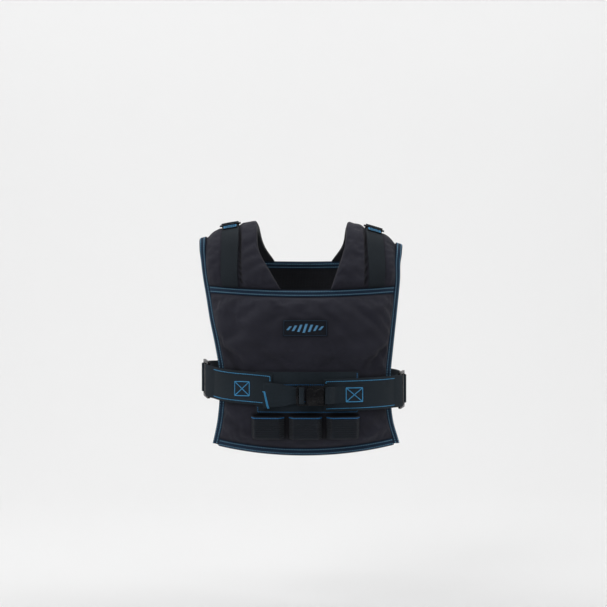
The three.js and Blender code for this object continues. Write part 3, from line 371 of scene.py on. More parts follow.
def hem_path(side, x):
    lift = 0 if side == FRONT else BACK_HEM_LIFT
    return path_at(side, x, -VEST_LENGTH + lift + HEM_RISE * bow(x))


def panel_top(side, x):
    return path_moved(band_path(side, x), x, side * (TAPE + SEAM_GAP - TAPE_WIDTH / 2))


def panel_foot(side, x):
    return path_moved(hem_path(side, x), x, -side * (TAPE + SEAM_GAP))


def rim_top(side, x):
    return path_moved(panel_top(side, x), x, side * TAPE_WIDTH)


def rim_foot(side, x):
    return path_moved(panel_foot(side, x), x, -side * TAPE_WIDTH)


def pad_end(side, x):
    return path_moved(band_path(side, x), x, -side * (TAPE_WIDTH / 2 + SEAM_GAP))


# The belt's line round the waist, seen from above. A turn is a length round it from the front.

GIRTH_STEPS = 720
girth_angle = np.linspace(-math.pi, math.pi, GIRTH_STEPS + 1)
girth_power = 2 / BELT_ROUNDNESS
girth_x = BELT_HALF_SPAN * np.sign(np.sin(girth_angle)) * np.abs(np.sin(girth_angle)) ** girth_power
girth_ahead = np.cos(girth_angle)
girth_reach = np.where(girth_ahead > 0, -BELT_REACH[FRONT], BELT_REACH[BACK])
girth_y = girth_reach * np.abs(girth_ahead) ** girth_power
girth_length = np.concatenate([[0], np.cumsum(np.hypot(np.diff(girth_x), np.diff(girth_y)))])
FRONT_MIDDLE = girth_length[GIRTH_STEPS // 2]


def wrap_turn(turn):
    return turn - 2 * FRONT_MIDDLE * np.round(turn / (2 * FRONT_MIDDLE))


def girth_at(turn):
    wanted = wrap_turn(np.asarray(turn, float)) + FRONT_MIDDLE
    x, y = (np.interp(wanted, girth_length, g) for g in (girth_x, girth_y))
    ahead, behind = wanted + 2, wanted - 2
    dx = np.interp(ahead, girth_length, girth_x) - np.interp(behind, girth_length, girth_x)
    dy = np.interp(ahead, girth_length, girth_y) - np.interp(behind, girth_length, girth_y)
    away = unit(np.stack([dy, -dx], -1))
    return np.stack([x, y], -1), away


def turn_to(x):
    front = slice(GIRTH_STEPS // 4, GIRTH_STEPS * 3 // 4 + 1)
    return np.interp(x, girth_x[front], girth_length[front]) - FRONT_MIDDLE


def turn_beside(side, x):
    """The belt's turn at a place across, on the front or the back."""
    if side == FRONT:
        return turn_to(x)
    return np.where(x < 0, -1, 1) * FRONT_MIDDLE - turn_to(x)


def belt_height(turn):
    return -BELT_DROP + belt_rise(wrap_turn(turn) / FRONT_MIDDLE) * BELT_WIDTH


def buckle_height(turn):
    past = (turn - BUCKLE_CENTRE - SOCKET_LENGTH) / STRAP_RISE_LENGTH
    return -BELT_DROP + STRAP_RISE * np.clip(past, 0, 1)


def belt_point(turn, out, up, height=belt_height):
    turn, out, up = np.broadcast_arrays(*(np.asarray(v, float) for v in (turn, out, up)))
    at, away = girth_at(turn)
    flat = at + away * out[..., None]
    return np.concatenate([flat, (height(turn) + up)[..., None]], -1)


def belt_limit(side, x, z):
    share = np.minimum(np.abs(x) / BELT_HALF_SPAN, 1)
    held = BELT_REACH[side] * (1 - share**BELT_ROUNDNESS) ** (1 / BELT_ROUNDNESS)
    off = np.abs(z - belt_height(turn_beside(side, x)))
    away = np.maximum(off - BELT_WIDTH / 2 - HELD_MARGIN, 0)
    return held + CLOTH_SWELL * (away / SWELL_REACH) ** 2


# The padding of the panels and the pads.


def fold_depth(x, z):
    depth = 0
    for across, down, lean, reach, width, deep in FOLDS:
        dx = x - across * SHOULDER_WIDTH / 2
        dz = z + down * VEST_LENGTH
        cosine, sine = math.cos(math.radians(lean)), math.sin(math.radians(lean))
        along = (dx * cosine - dz * sine) / (reach * PUFF_REACH)
        off = (dx * sine + dz * cosine) / (width * PUFF_REACH)
        depth = depth + deep * np.exp(-(along**2) - off**2)
    return depth


def panel_seams(side, path, x):
    """Lengths from a place on a panel to its side, top and foot seams."""
    run = run_length(path, x)
    left, right = (inside_edge(path, hand, TAPE_WIDTH) for hand in (LEFT, RIGHT))
    from_side = np.where(x < 0, x - left, right - x)
    return from_side, side * (path - rim_top(side, x)) * run, side * (rim_foot(side, x) - path) * run


def panel_fullness(side, path, x):
    from_side, from_top, from_foot = panel_seams(side, path, x)
    return puff(from_side / PUFF_REACH) * puff(from_top / PUFF_REACH) * puff(from_foot / PUFF_REACH)


def panel_thickness(side, path, x):
    full = panel_fullness(side, path, x)
    pressed_and_painted_shade = 1 - fold_depth(x, body_point(path, x)[..., 2]) * full if side == FRONT else 1
    return RIM_THICKNESS + (PANEL_PADDING - RIM_THICKNESS) * full * pressed_and_painted_shade


def on_panel(side, path, x, off=0):
    path, x = np.broadcast_arrays(np.asarray(path, float), np.asarray(x, float))
    point = lifted(path, x, panel_thickness(side, path, x))
    limit = belt_limit(side, point[..., 0], point[..., 2])
    least = side * lifted(path, x, np.full(x.shape, RIM_THICKNESS))[..., 1]
    point[..., 1] = side * np.minimum(side * point[..., 1], np.maximum(limit, least))
    return point + outward(path, x) * np.asarray(off)[..., None]


def strap_middle(path, hand):
    return hand * strap_share[hand](path) * SHOULDER_WIDTH / 2


def strap_scale(path, hand):
    return np.linalg.norm(across_body(path, strap_middle(path, hand)), axis=-1)


def from_pad_ends(path, x):
    return np.minimum(path - pad_end(FRONT, x), pad_end(BACK, x) - path) * run_length(path, x)


def beside_strap(path, x, hand):
    """How far a place on a pad lies outside the strap, less than 0 under it."""
    return np.abs(x - strap_middle(path, hand)) * strap_scale(path, hand) - SHOULDER_STRAP_WIDTH / 2


def pad_thickness(path, x, hand):
    from_side = hand * (inside_edge(path, hand, TAPE_WIDTH) - x)
    from_neck = hand * (x - inside_neck(path, hand, 0))
    side = puff(from_side / (PUFF_REACH * 0.6))
    neck = lerp(0.55, 1, puff(from_neck / 12))
    end = lerp(0.12, 1, puff(from_pad_ends(path, x) / PUFF_REACH))
    full = RIM_THICKNESS + (SHOULDER_PADDING - RIM_THICKNESS) * side * neck * end
    return full - STRAP_SINK * (1 - smoothstep(beside_strap(path, x, hand), 0, STRAP_DIP)) * end * side


def on_pad(path, x, hand, off=0):
    return lifted(path, x, pad_thickness(path, x, hand) + off)


# Meshes.


def new_object(name, points, faces, uv=None):
    mesh = bpy.data.meshes.new(name)
    mesh.from_pydata([tuple(p) for p in np.asarray(points, float) * MM], [], faces)
    mesh.update()
    if uv is not None:
        layer = mesh.uv_layers.new(name="cloth")
        order = np.empty(len(mesh.loops), np.int32)
        mesh.loops.foreach_get("vertex_index", order)
        layer.data.foreach_set("uv", (np.asarray(uv, float)[order] * MM).ravel())
    obj = bpy.data.objects.new(name, mesh)
    bpy.context.scene.collection.objects.link(obj)
    return obj


def lengths_over(grid, axis):
    steps = np.linalg.norm(np.diff(grid, axis=axis), axis=-1)
    pad = [(0, 0), (0, 0)]
    pad[axis] = (1, 0)
    return np.pad(np.cumsum(steps, axis=axis), pad)


def cloth_uv(grid):
    """Lengths across and along a grid of points, in millimetres, from its middle."""
    u, v = lengths_over(grid, 1), lengths_over(grid, 0)
    return np.stack([u - u[:, -1:] / 2, v], -1).reshape(-1, 2)


def grid_faces(rows, columns, start=0, flip=False):
    faces = []
    for i in range(rows - 1):
        for j in range(columns - 1):
            a = start + i * columns + j
            face = (a, a + 1, a + columns + 1, a + columns)
            faces.append(face[::-1] if flip else face)
    return faces


def shell(name, outer, inner):
    """A closed form between two grids of points."""
    rows, columns = outer.shape[:2]
    count = rows * columns
    faces = grid_faces(rows, columns) + grid_faces(rows, columns, count, True)
    rim = list(range(columns))
    rim += [i * columns + columns - 1 for i in range(1, rows)]
    rim += [(rows - 1) * columns + j for j in range(columns - 2, -1, -1)]
    rim += [i * columns for i in range(rows - 2, 0, -1)]
    for a, b in zip(rim, rim[1:] + rim[:1]):
        faces.append((a, a + count, b + count, b))
    points = np.concatenate([outer.reshape(-1, 3), inner.reshape(-1, 3)])
    uv = np.concatenate([cloth_uv(outer), cloth_uv(inner)])
    obj = new_object(name, points, faces, uv)
    face_out(obj)
    return obj


def face_out(obj):
    bm = bmesh.new()
    bm.from_mesh(obj.data)
    bmesh.ops.recalc_face_normals(bm, faces=bm.faces)
    bm.to_mesh(obj.data)
    bm.free()


def only(obj):
    bpy.ops.object.select_all(action="DESELECT")
    obj.select_set(True)
    bpy.context.view_layer.objects.active = obj


def smooth(obj, degrees=40):
    only(obj)
    bpy.ops.object.shade_smooth_by_angle(angle=math.radians(degrees))


def finish_with(obj, kind, **values):
    """Adds a modifier and applies it."""
    modifier = obj.modifiers.new(kind.lower(), kind)
    for key, value in values.items():
        setattr(modifier, key, value)
    only(obj)
    bpy.ops.object.modifier_apply(modifier=modifier.name)


def rounded(obj, width, segments, degrees):
    """Rounds the edges that turn by more than an angle."""
    limit = math.radians(degrees)
    finish_with(obj, "BEVEL", width=width * MM, segments=segments, limit_method="ANGLE", angle_limit=limit)


def cloth_strip(name, middle, thickness):
    """A strip of cloth with its thickness about a grid of points."""
    rows, columns = middle.shape[:2]
    obj = new_object(name, middle.reshape(-1, 3), grid_faces(rows, columns), cloth_uv(middle))
    finish_with(obj, "SOLIDIFY", thickness=thickness * MM, offset=0, use_even_offset=False)
    face_out(obj)
    rounded(obj, CLOTH_ROUNDING * thickness, segments=2, degrees=50)
    return obj


def settle(path_of, place, start):
    x = start
    for _ in range(6):
        x = place(path_of(x))
    return x


def side_edges(path_of, inside, shape):
    """Places across on both sides of the vest, a length inside its outer edges."""
    start = np.zeros(shape)
    return [settle(path_of, lambda path: inside_edge(path, hand, inside), start) for hand in (LEFT, RIGHT)]


# The panels and pads as grids of points.

PANEL_ROWS = 74
PANEL_COLUMNS = 80
PAD_ROWS = 72
PAD_COLUMNS = 40


def closing(count, share=0.5):
    """Shares from 0 to 1, closer together near both ends."""
    u = np.linspace(-1, 1, count + 1)
    return (1 + lerp(u, np.sin(u * math.pi / 2), share)) / 2


def panel_grid(side):
    share = closing(PANEL_ROWS)[:, None]
    path_of = lambda x: lerp(panel_top(side, x), panel_foot(side, x), share)
    left, right = side_edges(path_of, TAPE + SEAM_GAP, share.shape)
    x = lerp(left, right, closing(PANEL_COLUMNS)[None, :])
    return path_of(x), x


def pad_path_of(share):
    return lambda x: lerp(pad_end(FRONT, x), pad_end(BACK, x), share)


# Tape folded round the edges.


def tape_section():
    """Places into the cloth and out from the body, round the fold."""
    skin = RIM_THICKNESS + SEAM_GAP
    low, high = -SEAM_GAP - TAPE / 2, skin + TAPE / 2
    radius = (high - low) / 2
    points = [(into, low) for into in np.linspace(TAPE_WIDTH, radius, 6)]
    for angle in np.linspace(-90, -270, 9)[1:-1]:
        a = math.radians(angle)
        points.append((radius + radius * math.cos(a), (low + high) / 2 + radius * math.sin(a)))
    points += [(into, high) for into in np.linspace(radius, TAPE_WIDTH, 6)]
    return np.array(points)


TAPE_SECTION = tape_section()


def side_tape_point(hand, path, into, out):
    return lifted(path, inside_edge(path, hand, into), out)


def side_paths(hand, count):
    edge = hand * SHOULDER_WIDTH / 2
    start = float(hem_path(FRONT, edge * 0.9))
    end = float(hem_path(BACK, edge * 0.88))
    return np.linspace(start, end, count)


def cross_tape_point(edge_path, inwards, share, into, out):
    share, into, out = np.broadcast_arrays(*(np.asarray(v, float) for v in (share, into, out)))
    path_of = lambda x: path_moved(edge_path(x), x, inwards * into)
    left, right = side_edges(path_of, TAPE_WIDTH + 2 * SEAM_GAP, into.shape)
    x = lerp(left, right, share)
    return lifted(path_of(x), x, out)


def band_edge(side):
    return lambda x: path_moved(band_path(side, x), x, -side * TAPE_WIDTH / 2)


def hem_edge(side):
    return lambda x: hem_path(side, x)


def build_side_tape(hand):
    paths = side_paths(hand, 300)[:, None]
    return side_tape_point(hand, paths, TAPE_SECTION[None, :, 0], TAPE_SECTION[None, :, 1])


def build_cross_tape(edge_path, inwards):
    shares = np.linspace(0, 1, 150)[:, None]
    return cross_tape_point(edge_path, inwards, shares, TAPE_SECTION[None, :, 0], TAPE_SECTION[None, :, 1])


# Shoulder straps.


def slider_run():
    """The length over a pad for one path, measured at the slider."""
    x, reach = strap_middle(SLIDER_PATH, RIGHT), 0.02
    low, high = (on_pad(SLIDER_PATH + step, x, RIGHT, SLIDER_LIFT) for step in (-reach, reach))
    return float(np.linalg.norm(high - low) / (2 * reach))


SLIDER_RUN = slider_run()


def strap_climb(from_slider):
    full = SLIDER_LIFT + SLIDER_THICKNESS + SEAM_GAP
    return full * smoothstep(SLIDER_EDGE - np.abs(from_slider), 0, SLIDER_SLOT - SEAM_GAP)


def shoulder_strap_grid(hand):
    half = SHOULDER_STRAP_WIDTH / 2
    path_of = pad_path_of(np.linspace(0, 1, 150)[:, None])
    off = np.linspace(-half, half, 15)[None, :]
    beside = lambda path: strap_middle(path, hand) + off / strap_scale(path, hand)
    x = settle(path_of, beside, np.full((150, 15), float(strap_middle(0, hand))))
    path = path_of(x)
    climb = strap_climb((path - SLIDER_PATH) * SLIDER_RUN)
    return on_pad(path, x, hand, SEAM_GAP + STRAP_THICKNESS / 2 + climb)


def shoulder_tab_grid(hand):
    front = SLIDER_PATH - (SLIDER_EDGE + SLIDER_BAR + 3 * SEAM_GAP) / SLIDER_RUN
    path = np.linspace(front - TAB_LENGTH / SLIDER_RUN, front, 12)[:, None]
    off = np.linspace(-TAB_WIDTH / 2, TAB_WIDTH / 2, 13)[None, :]
    x = strap_middle(path, hand) + off / strap_scale(path, hand)
    return on_pad(path, x, hand, SLIDER_LIFT + STRAP_THICKNESS / 2)


# Straps of the belt: a line of (turn, out) places, swept over the strap's width.

RAIL_OUT = SEWN_GAP + KEEPER_THICKNESS + SEAM_GAP
WING_OUT = RAIL_OUT + KEEPER_THICKNESS + SEAM_GAP + BELT_THICKNESS / 2
STRAP_OUT = WING_OUT + BELT_THICKNESS / 2 + SEAM_GAP + STRAP_THICKNESS / 2
BUCKLE_OUT = STRAP_OUT + STRAP_THICKNESS / 2 + SEAM_GAP
RING_OUT = WING_OUT + BELT_THICKNESS / 2
RING_REACH = RING_SLOT + RING_BAR


def bar_turn(hand, bar):
    return turn_to(hand * RING_PLACE) + hand * (1 + bar) * RING_REACH


def fold_radius(thickness):
    return RING_BAR / 2 * math.sqrt(2) + SEAM_GAP + thickness / 2


def round_bar(bar, out, radius, towards):
    angles = np.radians(np.linspace(90, -90, 13))
    return [(bar + towards * radius * math.cos(a), out + radius * math.sin(a)) for a in angles]


def fine_line(line, size=3.0):
    """A line of places with steps no longer than a size."""
    line = np.array(line, float)
    parts = [line[:1]]
    for a, b in zip(line[:-1], line[1:]):
        count = max(1, math.ceil(np.linalg.norm(b - a) / size))
        parts.append(lerp(a, b, np.linspace(0, 1, count + 1)[1:, None]))
    return np.concatenate(parts)


def belt_grid(line, width_at, columns=21, height=belt_height):
    line = fine_line(line)
    turn, out = line[:, :1], line[:, 1:]
    half = width_at(turn) / 2
    up = half * np.linspace(-1, 1, columns)[None, :]
    return belt_point(turn, out, up, height)


def wing_grid(hand):
    end = turn_to(BELT_ENDS[hand])
    bar = bar_turn(hand, -1)
    radius = fold_radius(BELT_THICKNESS)
    line = [(end, WING_OUT), (bar - hand * 20, WING_OUT)]
    line += round_bar(bar, RING_OUT, radius, hand)
    line.append((bar - hand * 5, RING_OUT - radius))
    return belt_grid(line, lambda turn: np.full(turn.shape, float(BELT_WIDTH)), 25)


def back_strap_grid():
    radius = fold_radius(STRAP_THICKNESS)
    right, left = bar_turn(RIGHT, 1), bar_turn(LEFT, 1) + 2 * FRONT_MIDDLE

    def out_at(turn):
        from_bar = min(turn - right, left - turn)
        return lerp(RING_OUT + radius, 2 * SEAM_GAP + STRAP_THICKNESS, float(puff(from_bar / 100)))

    def end(bar, towards):
        return [(bar - towards * 10, RING_OUT - radius)] + round_bar(bar, RING_OUT, radius, towards)[::-1]

    run = [(turn, out_at(turn)) for turn in np.linspace(right + 8, left - 8, 120)]
    line = end(right, -1) + run + end(left, 1)[::-1]
    return belt_grid(line, lambda turn: np.full(turn.shape, float(BACK_STRAP_WIDTH)), 19)


def sewn_grid(left, right, top, foot, off):
    rows = max(2, math.ceil((top - foot) / 3)) + 1
    columns = max(2, math.ceil((right - left) / 3)) + 1
    z, x = np.meshgrid(np.linspace(top, foot, rows), np.linspace(left, right, columns), indexing="ij")
    return on_panel(FRONT, path_at(FRONT, x, z), x, np.full(x.shape, float(off)))


KEEPER_LEFT = KEEPER_CENTRE - KEEPER_WIDTH / 2
KEEPER_RIGHT = KEEPER_CENTRE + KEEPER_WIDTH / 2
KEEPER_FOOT = KEEPER_TOP - KEEPER_HEIGHT


def keeper_grid():
    return sewn_grid(KEEPER_LEFT, KEEPER_RIGHT, KEEPER_TOP, KEEPER_FOOT, SEWN_GAP + KEEPER_THICKNESS / 2)


def rail_grid(top):
    off = RAIL_OUT + KEEPER_THICKNESS / 2
    return sewn_grid(KEEPER_LEFT + RAIL_INSET, KEEPER_RIGHT - RAIL_INSET, top, top - RAIL_WIDTH, off)


def name_patch_grid():
    half = PATCH_WIDTH / 2
    top = -PATCH_DROP + PATCH_HEIGHT / 2
    off = SEWN_GAP + PATCH_THICKNESS / 2
    return sewn_grid(PATCH_CENTRE - half, PATCH_CENTRE + half, top, top - PATCH_HEIGHT, off)


# The buckle's straps.

PLUG_START = -28.5
OUTER_BAR = 4
LADDER_SLOT = 5
MIDDLE_BAR = 4
MIDDLE_BAR_START = PLUG_START + OUTER_BAR + LADDER_SLOT
PLUG_END = MIDDLE_BAR_START + MIDDLE_BAR + LADDER_SLOT + 2.8
PLUG_SKIN = 1.2
SOCKET_END = PLUG_END + 2 * SEAM_GAP + SOCKET_LENGTH
SOCKET_BAR = 3.5
END_BAR_SKIN = 2.2


def at_buckle(place):
    """Moves a place of a strap from the belt's curve out to the flat buckle's plane."""
    turn, out = place
    seat, seat_out = girth_at(turn_to(BUCKLE_CENTRE))
    at, away = girth_at(turn)
    return turn, out + float(np.dot(seat - at, seat_out) / np.dot(away, seat_out))


def left_strap_grid():
    zero, start = float(turn_to(BUCKLE_CENTRE)), float(turn_to(LEFT_STRAP_END))
    reach = SEAM_GAP + STRAP_THICKNESS / 2
    over = BUCKLE_OUT + BUCKLE_THICKNESS - PLUG_SKIN + reach
    bar = zero + MIDDLE_BAR_START
    before, after = bar - reach - 0.4, bar + MIDDLE_BAR + reach + 0.4
    line = [(start, STRAP_OUT), (zero + PLUG_START, STRAP_OUT)]
    line += [
        at_buckle(place)
        for place in (
            (before - 2, STRAP_OUT),
            (before, STRAP_OUT + 2.4),
            (before, over - 1.4),
            (before + 1.4, over),
            (after - 1.4, over),
            (after, over - 1.4),
            (after, BUCKLE_OUT + PLUG_SKIN),
        )
    ]

    def width(turn):
        share = np.clip((turn - start) / (zero + PLUG_START - start), 0, 1)
        return lerp(STRAP_END_WIDTH, BUCKLE_STRAP_WIDTH, share**1.4)

    return belt_grid(line, width, 17, buckle_height)


def right_strap_grid():
    zero, end = float(turn_to(BUCKLE_CENTRE)), float(turn_to(RIGHT_STRAP_END))
    reach = SEWN_GAP + STRAP_THICKNESS / 2
    bar = zero + SOCKET_END - SOCKET_BAR
    before = bar - reach - 0.3
    over = BUCKLE_OUT + BUCKLE_THICKNESS - END_BAR_SKIN + reach
    line = [(bar + 11, STRAP_OUT)]
    line += [
        at_buckle(place)
        for place in (
            (before + 2, STRAP_OUT),
            (before, STRAP_OUT + 2),
            (before, over - 1.2),
            (before + 1.2, over),
            (bar + SOCKET_BAR, over),
            (bar + SOCKET_BAR + 5, over - 3.4),
        )
    ]
    line.append((bar + SOCKET_BAR + 11, STRAP_OUT + STRAP_THICKNESS + SEAM_GAP))
    line += [(bar + SOCKET_BAR + 16, STRAP_OUT), (end, STRAP_OUT)]
    return belt_grid(line, lambda turn: np.full(turn.shape, float(BUCKLE_STRAP_WIDTH)), 15, buckle_height)


# Pouches: a strip of webbing round the front and two sides, with a floor.

POUCH_CORNER = 5
FLOOR_CORNER = 3
FLOOR_START = 4
FLOOR_END = 0.12


def pouch_grid(centre):
    half = POUCH_WIDTH / 2 - POUCH_WALL / 2
    foot = half + POUCH_SPLAY
    top, low = -POUCH_DROP, -POUCH_DROP - POUCH_HEIGHT + POUCH_WALL / 2
    straight = half - POUCH_CORNER
    right = [(straight + along, -off) for along, off in quarter_turn(POUCH_CORNER, 6)]
    left = [(-u, v) for u, v in right[::-1]]
    front = left + [(u, 0) for u in np.linspace(-straight, straight, 11)[1:-1]] + right
    rounding = low + FLOOR_CORNER
    places = [(z, 1.0) for z in np.linspace(top, rounding, 12)]
    places += [(rounding - down, 1 - off / POUCH_DEPTH) for down, off in quarter_turn(FLOOR_CORNER, 5)[1:]]
    places += [(low, share) for share in np.linspace(1 - FLOOR_START / POUCH_DEPTH, FLOOR_END, 6)]
    z, share = (np.array(column)[:, None] for column in zip(*places))

    def on_face(x, off):
        point = on_panel(FRONT, path_at(FRONT, x, z), x, off)
        point[..., 2] = z
        return point

    middle = on_face(centre, (POUCH_DEPTH - POUCH_WALL / 2) * share)
    feet = [on_face(centre + hand * foot, POUCH_WALL / 2) for hand in (LEFT, RIGHT)]
    across = unit(on_face(centre + foot, 0) - on_face(centre - foot, 0))
    out = np.stack([across[..., 1], -across[..., 0], 0 * across[..., 0]], -1)
    u, v = (np.array(column)[None, :, None] for column in zip(*front))
    face = middle + across * u + out * v * share[..., None]
    steps = np.linspace(0, 1, 7)[None, :, None]
    left_side = lerp(feet[0], face[:, :1], steps[:, :-1])
    right_side = lerp(face[:, -1:], feet[1], steps[:, 1:])
    return np.concatenate([left_side, face, right_side], 1)


# Materials. A pattern reads the piece's own lengths across and along, and wear reads object space.


def new_group(name, inputs, outputs):
    tree = bpy.data.node_groups.new(name, "ShaderNodeTree")
    for label, kind, value in inputs:
        socket = tree.interface.new_socket(label, in_out="INPUT", socket_type=kind)
        if value is not None:
            socket.default_value = value
    for label in outputs:
        tree.interface.new_socket(label, in_out="OUTPUT", socket_type="NodeSocketFloat")
    return tree, tree.nodes.new("NodeGroupInput"), tree.nodes.new("NodeGroupOutput")


def feed(tree, socket, value):
    """Links an input to another node's output, or gives it a plain value."""
    if isinstance(value, bpy.types.NodeSocket):
        tree.links.new(value, socket)
    else:
        socket.default_value = value


def maths(tree, operation, *values):
    node = tree.nodes.new("ShaderNodeMath")
    node.operation = operation
    for socket, value in zip(node.inputs, values):
        feed(tree, socket, value)
    return node.outputs[0]


def waves(tree, vector, across, along):
    """Sines over the two directions of a vector, with these many waves a metre."""
    split = tree.nodes.new("ShaderNodeSeparateXYZ")
    tree.links.new(vector, split.inputs[0])
    found = []
    for axis, count in ((0, across), (1, along)):
        turns = maths(tree, "MULTIPLY", split.outputs[axis], count)
        found.append(maths(tree, "SINE", maths(tree, "MULTIPLY", turns, 2 * math.pi)))
    return found


def noise(tree, vector, scale, detail=2.0):
    node = tree.nodes.new("ShaderNodeTexNoise")
    node.inputs["Detail"].default_value = detail
    feed(tree, node.inputs["Scale"], scale)
    tree.links.new(vector, node.inputs["Vector"])
    return node.outputs["Fac"]


def weave_group():
    inputs = [("Vector", "NodeSocketVector", None), ("Threads", "NodeSocketFloat", 900.0)]
    tree, given, made = new_group("plain weave", inputs, ["Height", "Slub"])
    over, under = waves(tree, given.outputs["Vector"], given.outputs["Threads"], given.outputs["Threads"])
    bumps = maths(tree, "MULTIPLY_ADD", maths(tree, "MULTIPLY", over, under), 0.5, 0.5)
    stretch = tree.nodes.new("ShaderNodeMapping")
    stretch.inputs["Scale"].default_value = (0.12, 1, 1)
    tree.links.new(given.outputs["Vector"], stretch.inputs["Vector"])
    slub = noise(tree, stretch.outputs[0], 700.0)
    raised = maths(tree, "MULTIPLY", bumps, 0.6)
    tree.links.new(maths(tree, "MULTIPLY_ADD", slub, 0.5, raised), made.inputs["Height"])
    tree.links.new(slub, made.inputs["Slub"])
    return tree


def webbing_group():
    inputs = [
        ("Vector", "NodeSocketVector", None),
        ("Ribs across", "NodeSocketFloat", 700.0),
        ("Ribs along", "NodeSocketFloat", 420.0),
        ("Ridge", "NodeSocketFloat", 0.45),
    ]
    tree, given, made = new_group("webbing ribs", inputs, ["Height", "Slub"])
    counts = given.outputs["Ribs along"], given.outputs["Ribs across"]
    channel, ridge = waves(tree, given.outputs["Vector"], *counts)
    ridges = maths(tree, "MULTIPLY", maths(tree, "ABSOLUTE", ridge), given.outputs["Ridge"])
    channels = maths(tree, "MULTIPLY_ADD", channel, 0.25, 0.25)
    tree.links.new(maths(tree, "ADD", ridges, channels), made.inputs["Height"])
    tree.links.new(noise(tree, given.outputs["Vector"], 500.0), made.inputs["Slub"])
    return tree


def lining_group():
    inputs = [("Vector", "NodeSocketVector", None), ("Cells", "NodeSocketFloat", 330.0)]
    tree, given, made = new_group("open lining", inputs, ["Height", "Slub"])
    cells = tree.nodes.new("ShaderNodeTexVoronoi")
    cells.feature = "DISTANCE_TO_EDGE"
    cells.inputs["Randomness"].default_value = 0.15
    tree.links.new(given.outputs["Vector"], cells.inputs["Vector"])
    tree.links.new(given.outputs["Cells"], cells.inputs["Scale"])
    hole = maths(tree, "MULTIPLY", cells.outputs["Distance"], 3.0)
    tree.links.new(maths(tree, "SUBTRACT", 1.0, maths(tree, "MINIMUM", hole, 1.0)), made.inputs["Height"])
    tree.links.new(noise(tree, given.outputs["Vector"], 300.0), made.inputs["Slub"])
    return tree


def use_group():
    """Soft uneven patches, where cloth has been rubbed and handled."""
    inputs = [("Vector", "NodeSocketVector", None), ("Scale", "NodeSocketFloat", 14.0)]
    tree, given, made = new_group("handled patches", inputs, ["Shade", "Grain"])
    broad = noise(tree, given.outputs["Vector"], given.outputs["Scale"], 5.0)
    raised = maths(tree, "SUBTRACT", broad, 0.3)
    tree.links.new(maths(tree, "SMOOTH_MAX", raised, 0.0, 0.1), made.inputs["Shade"])
    tree.links.new(noise(tree, given.outputs["Vector"], 2600.0), made.inputs["Grain"])
    return tree


WEAVE, RIBS, LINING, HANDLED = weave_group(), webbing_group(), lining_group(), use_group()


def placed(tree, group, vector, **values):
    node = tree.nodes.new("ShaderNodeGroup")
    node.node_tree = group
    tree.links.new(vector, node.inputs["Vector"])
    for label, value in values.items():
        node.inputs[label.replace("_", " ")].default_value = value
    return node


def mixed(tree, factor, dark, light):
    node = tree.nodes.new("ShaderNodeMix")
    node.data_type = "RGBA"
    tree.links.new(factor, node.inputs["Factor"])
    for label, color in (("A", dark), ("B", light)):
        socket = next(s for s in node.inputs if s.name == label and s.type == "RGBA")
        feed(tree, socket, color if isinstance(color, bpy.types.NodeSocket) else (*color, 1))
    return next(s for s in node.outputs if s.type == "RGBA")


def tinted(color, factor, lift=0.0):
    return [factor * c + lift for c in color]


def bare_material(name, specular, roughness):
    made = bpy.data.materials.new(name)
    made.use_nodes = True
    shader = made.node_tree.nodes["Principled BSDF"]
    shader.inputs["Specular IOR Level"].default_value = specular
    shader.inputs["Roughness"].default_value = roughness
    return made, made.node_tree, shader, made.node_tree.nodes.new("ShaderNodeTexCoord")


def add_relief(tree, shader, height, strength, depth):
    """Bumps a surface by a height, with a depth in millimetres."""
    bump = tree.nodes.new("ShaderNodeBump")
    bump.inputs["Strength"].default_value = strength
    bump.inputs["Distance"].default_value = depth * MM
    tree.links.new(height, bump.inputs["Height"])
    tree.links.new(bump.outputs[0], shader.inputs["Normal"])


def cloth_material(name, color, pattern, depth, sheen=0.0, **values):
    """A cloth with a woven relief of a depth in millimetres, with painted shade in its hollows and painted
    light on its raised threads, and worn in patches.
    """
    made, tree, shader, coordinates = bare_material(name, specular=0.18, roughness=0.82)
    woven = placed(tree, pattern, coordinates.outputs["UV"], **values)
    used = placed(tree, HANDLED, coordinates.outputs["Object"])
    # Painted shade in the relief's hollows and painted light on its raised parts.
    painted_weave_shade = mixed(tree, woven.outputs["Height"], tinted(color, 0.55), tinted(color, 1.3))
    faded = mixed(tree, used.outputs["Shade"], painted_weave_shade, tinted(color, 1.5, 0.004))
    tree.links.new(faded, shader.inputs["Base Color"])
    rough = maths(tree, "MULTIPLY_ADD", woven.outputs["Slub"], 0.2, 0.7)
    tree.links.new(rough, shader.inputs["Roughness"])
    add_relief(tree, shader, woven.outputs["Height"], 0.8, depth)
    shader.inputs["Sheen Weight"].default_value = sheen
    shader.inputs["Sheen Roughness"].default_value = 0.6
    return made


# The colour of painted shade: in creases, in the sewn groove, along the belt and behind the pouches.
PAINTED_SHADE_COLOR = (0.002, 0.0022, 0.0035)


def paint_point_shade(skin):
    """Paints shade into a cloth's colour, as much as its point values of painted shade ask: in creases, in
    the sewn groove, along the belt and behind the pouches.
    """
    tree = skin.node_tree
    socket = tree.nodes["Principled BSDF"].inputs["Base Color"]
    plain = socket.links[0].from_socket
    # Reads each point's amount of painted shade.
    values = tree.nodes.new("ShaderNodeAttribute")
    values.attribute_name = "pressed_and_painted_shade"
    tree.links.new(mixed(tree, values.outputs["Fac"], plain, PAINTED_SHADE_COLOR), socket)


def plastic_material(name, color):
    """Satin plastic, lighter and rougher in patches."""
    made, tree, shader, coordinates = bare_material(name, specular=0.22, roughness=0.35)
    used = placed(tree, HANDLED, coordinates.outputs["Object"], Scale=60.0)
    rubbed = mixed(tree, used.outputs["Shade"], color, tinted(color, 1.6))
    tree.links.new(rubbed, shader.inputs["Base Color"])
    rough = maths(tree, "MULTIPLY_ADD", used.outputs["Shade"], 0.3, 0.22)
    tree.links.new(rough, shader.inputs["Roughness"])
    add_relief(tree, shader, used.outputs["Grain"], 0.25, 0.05)
    return made


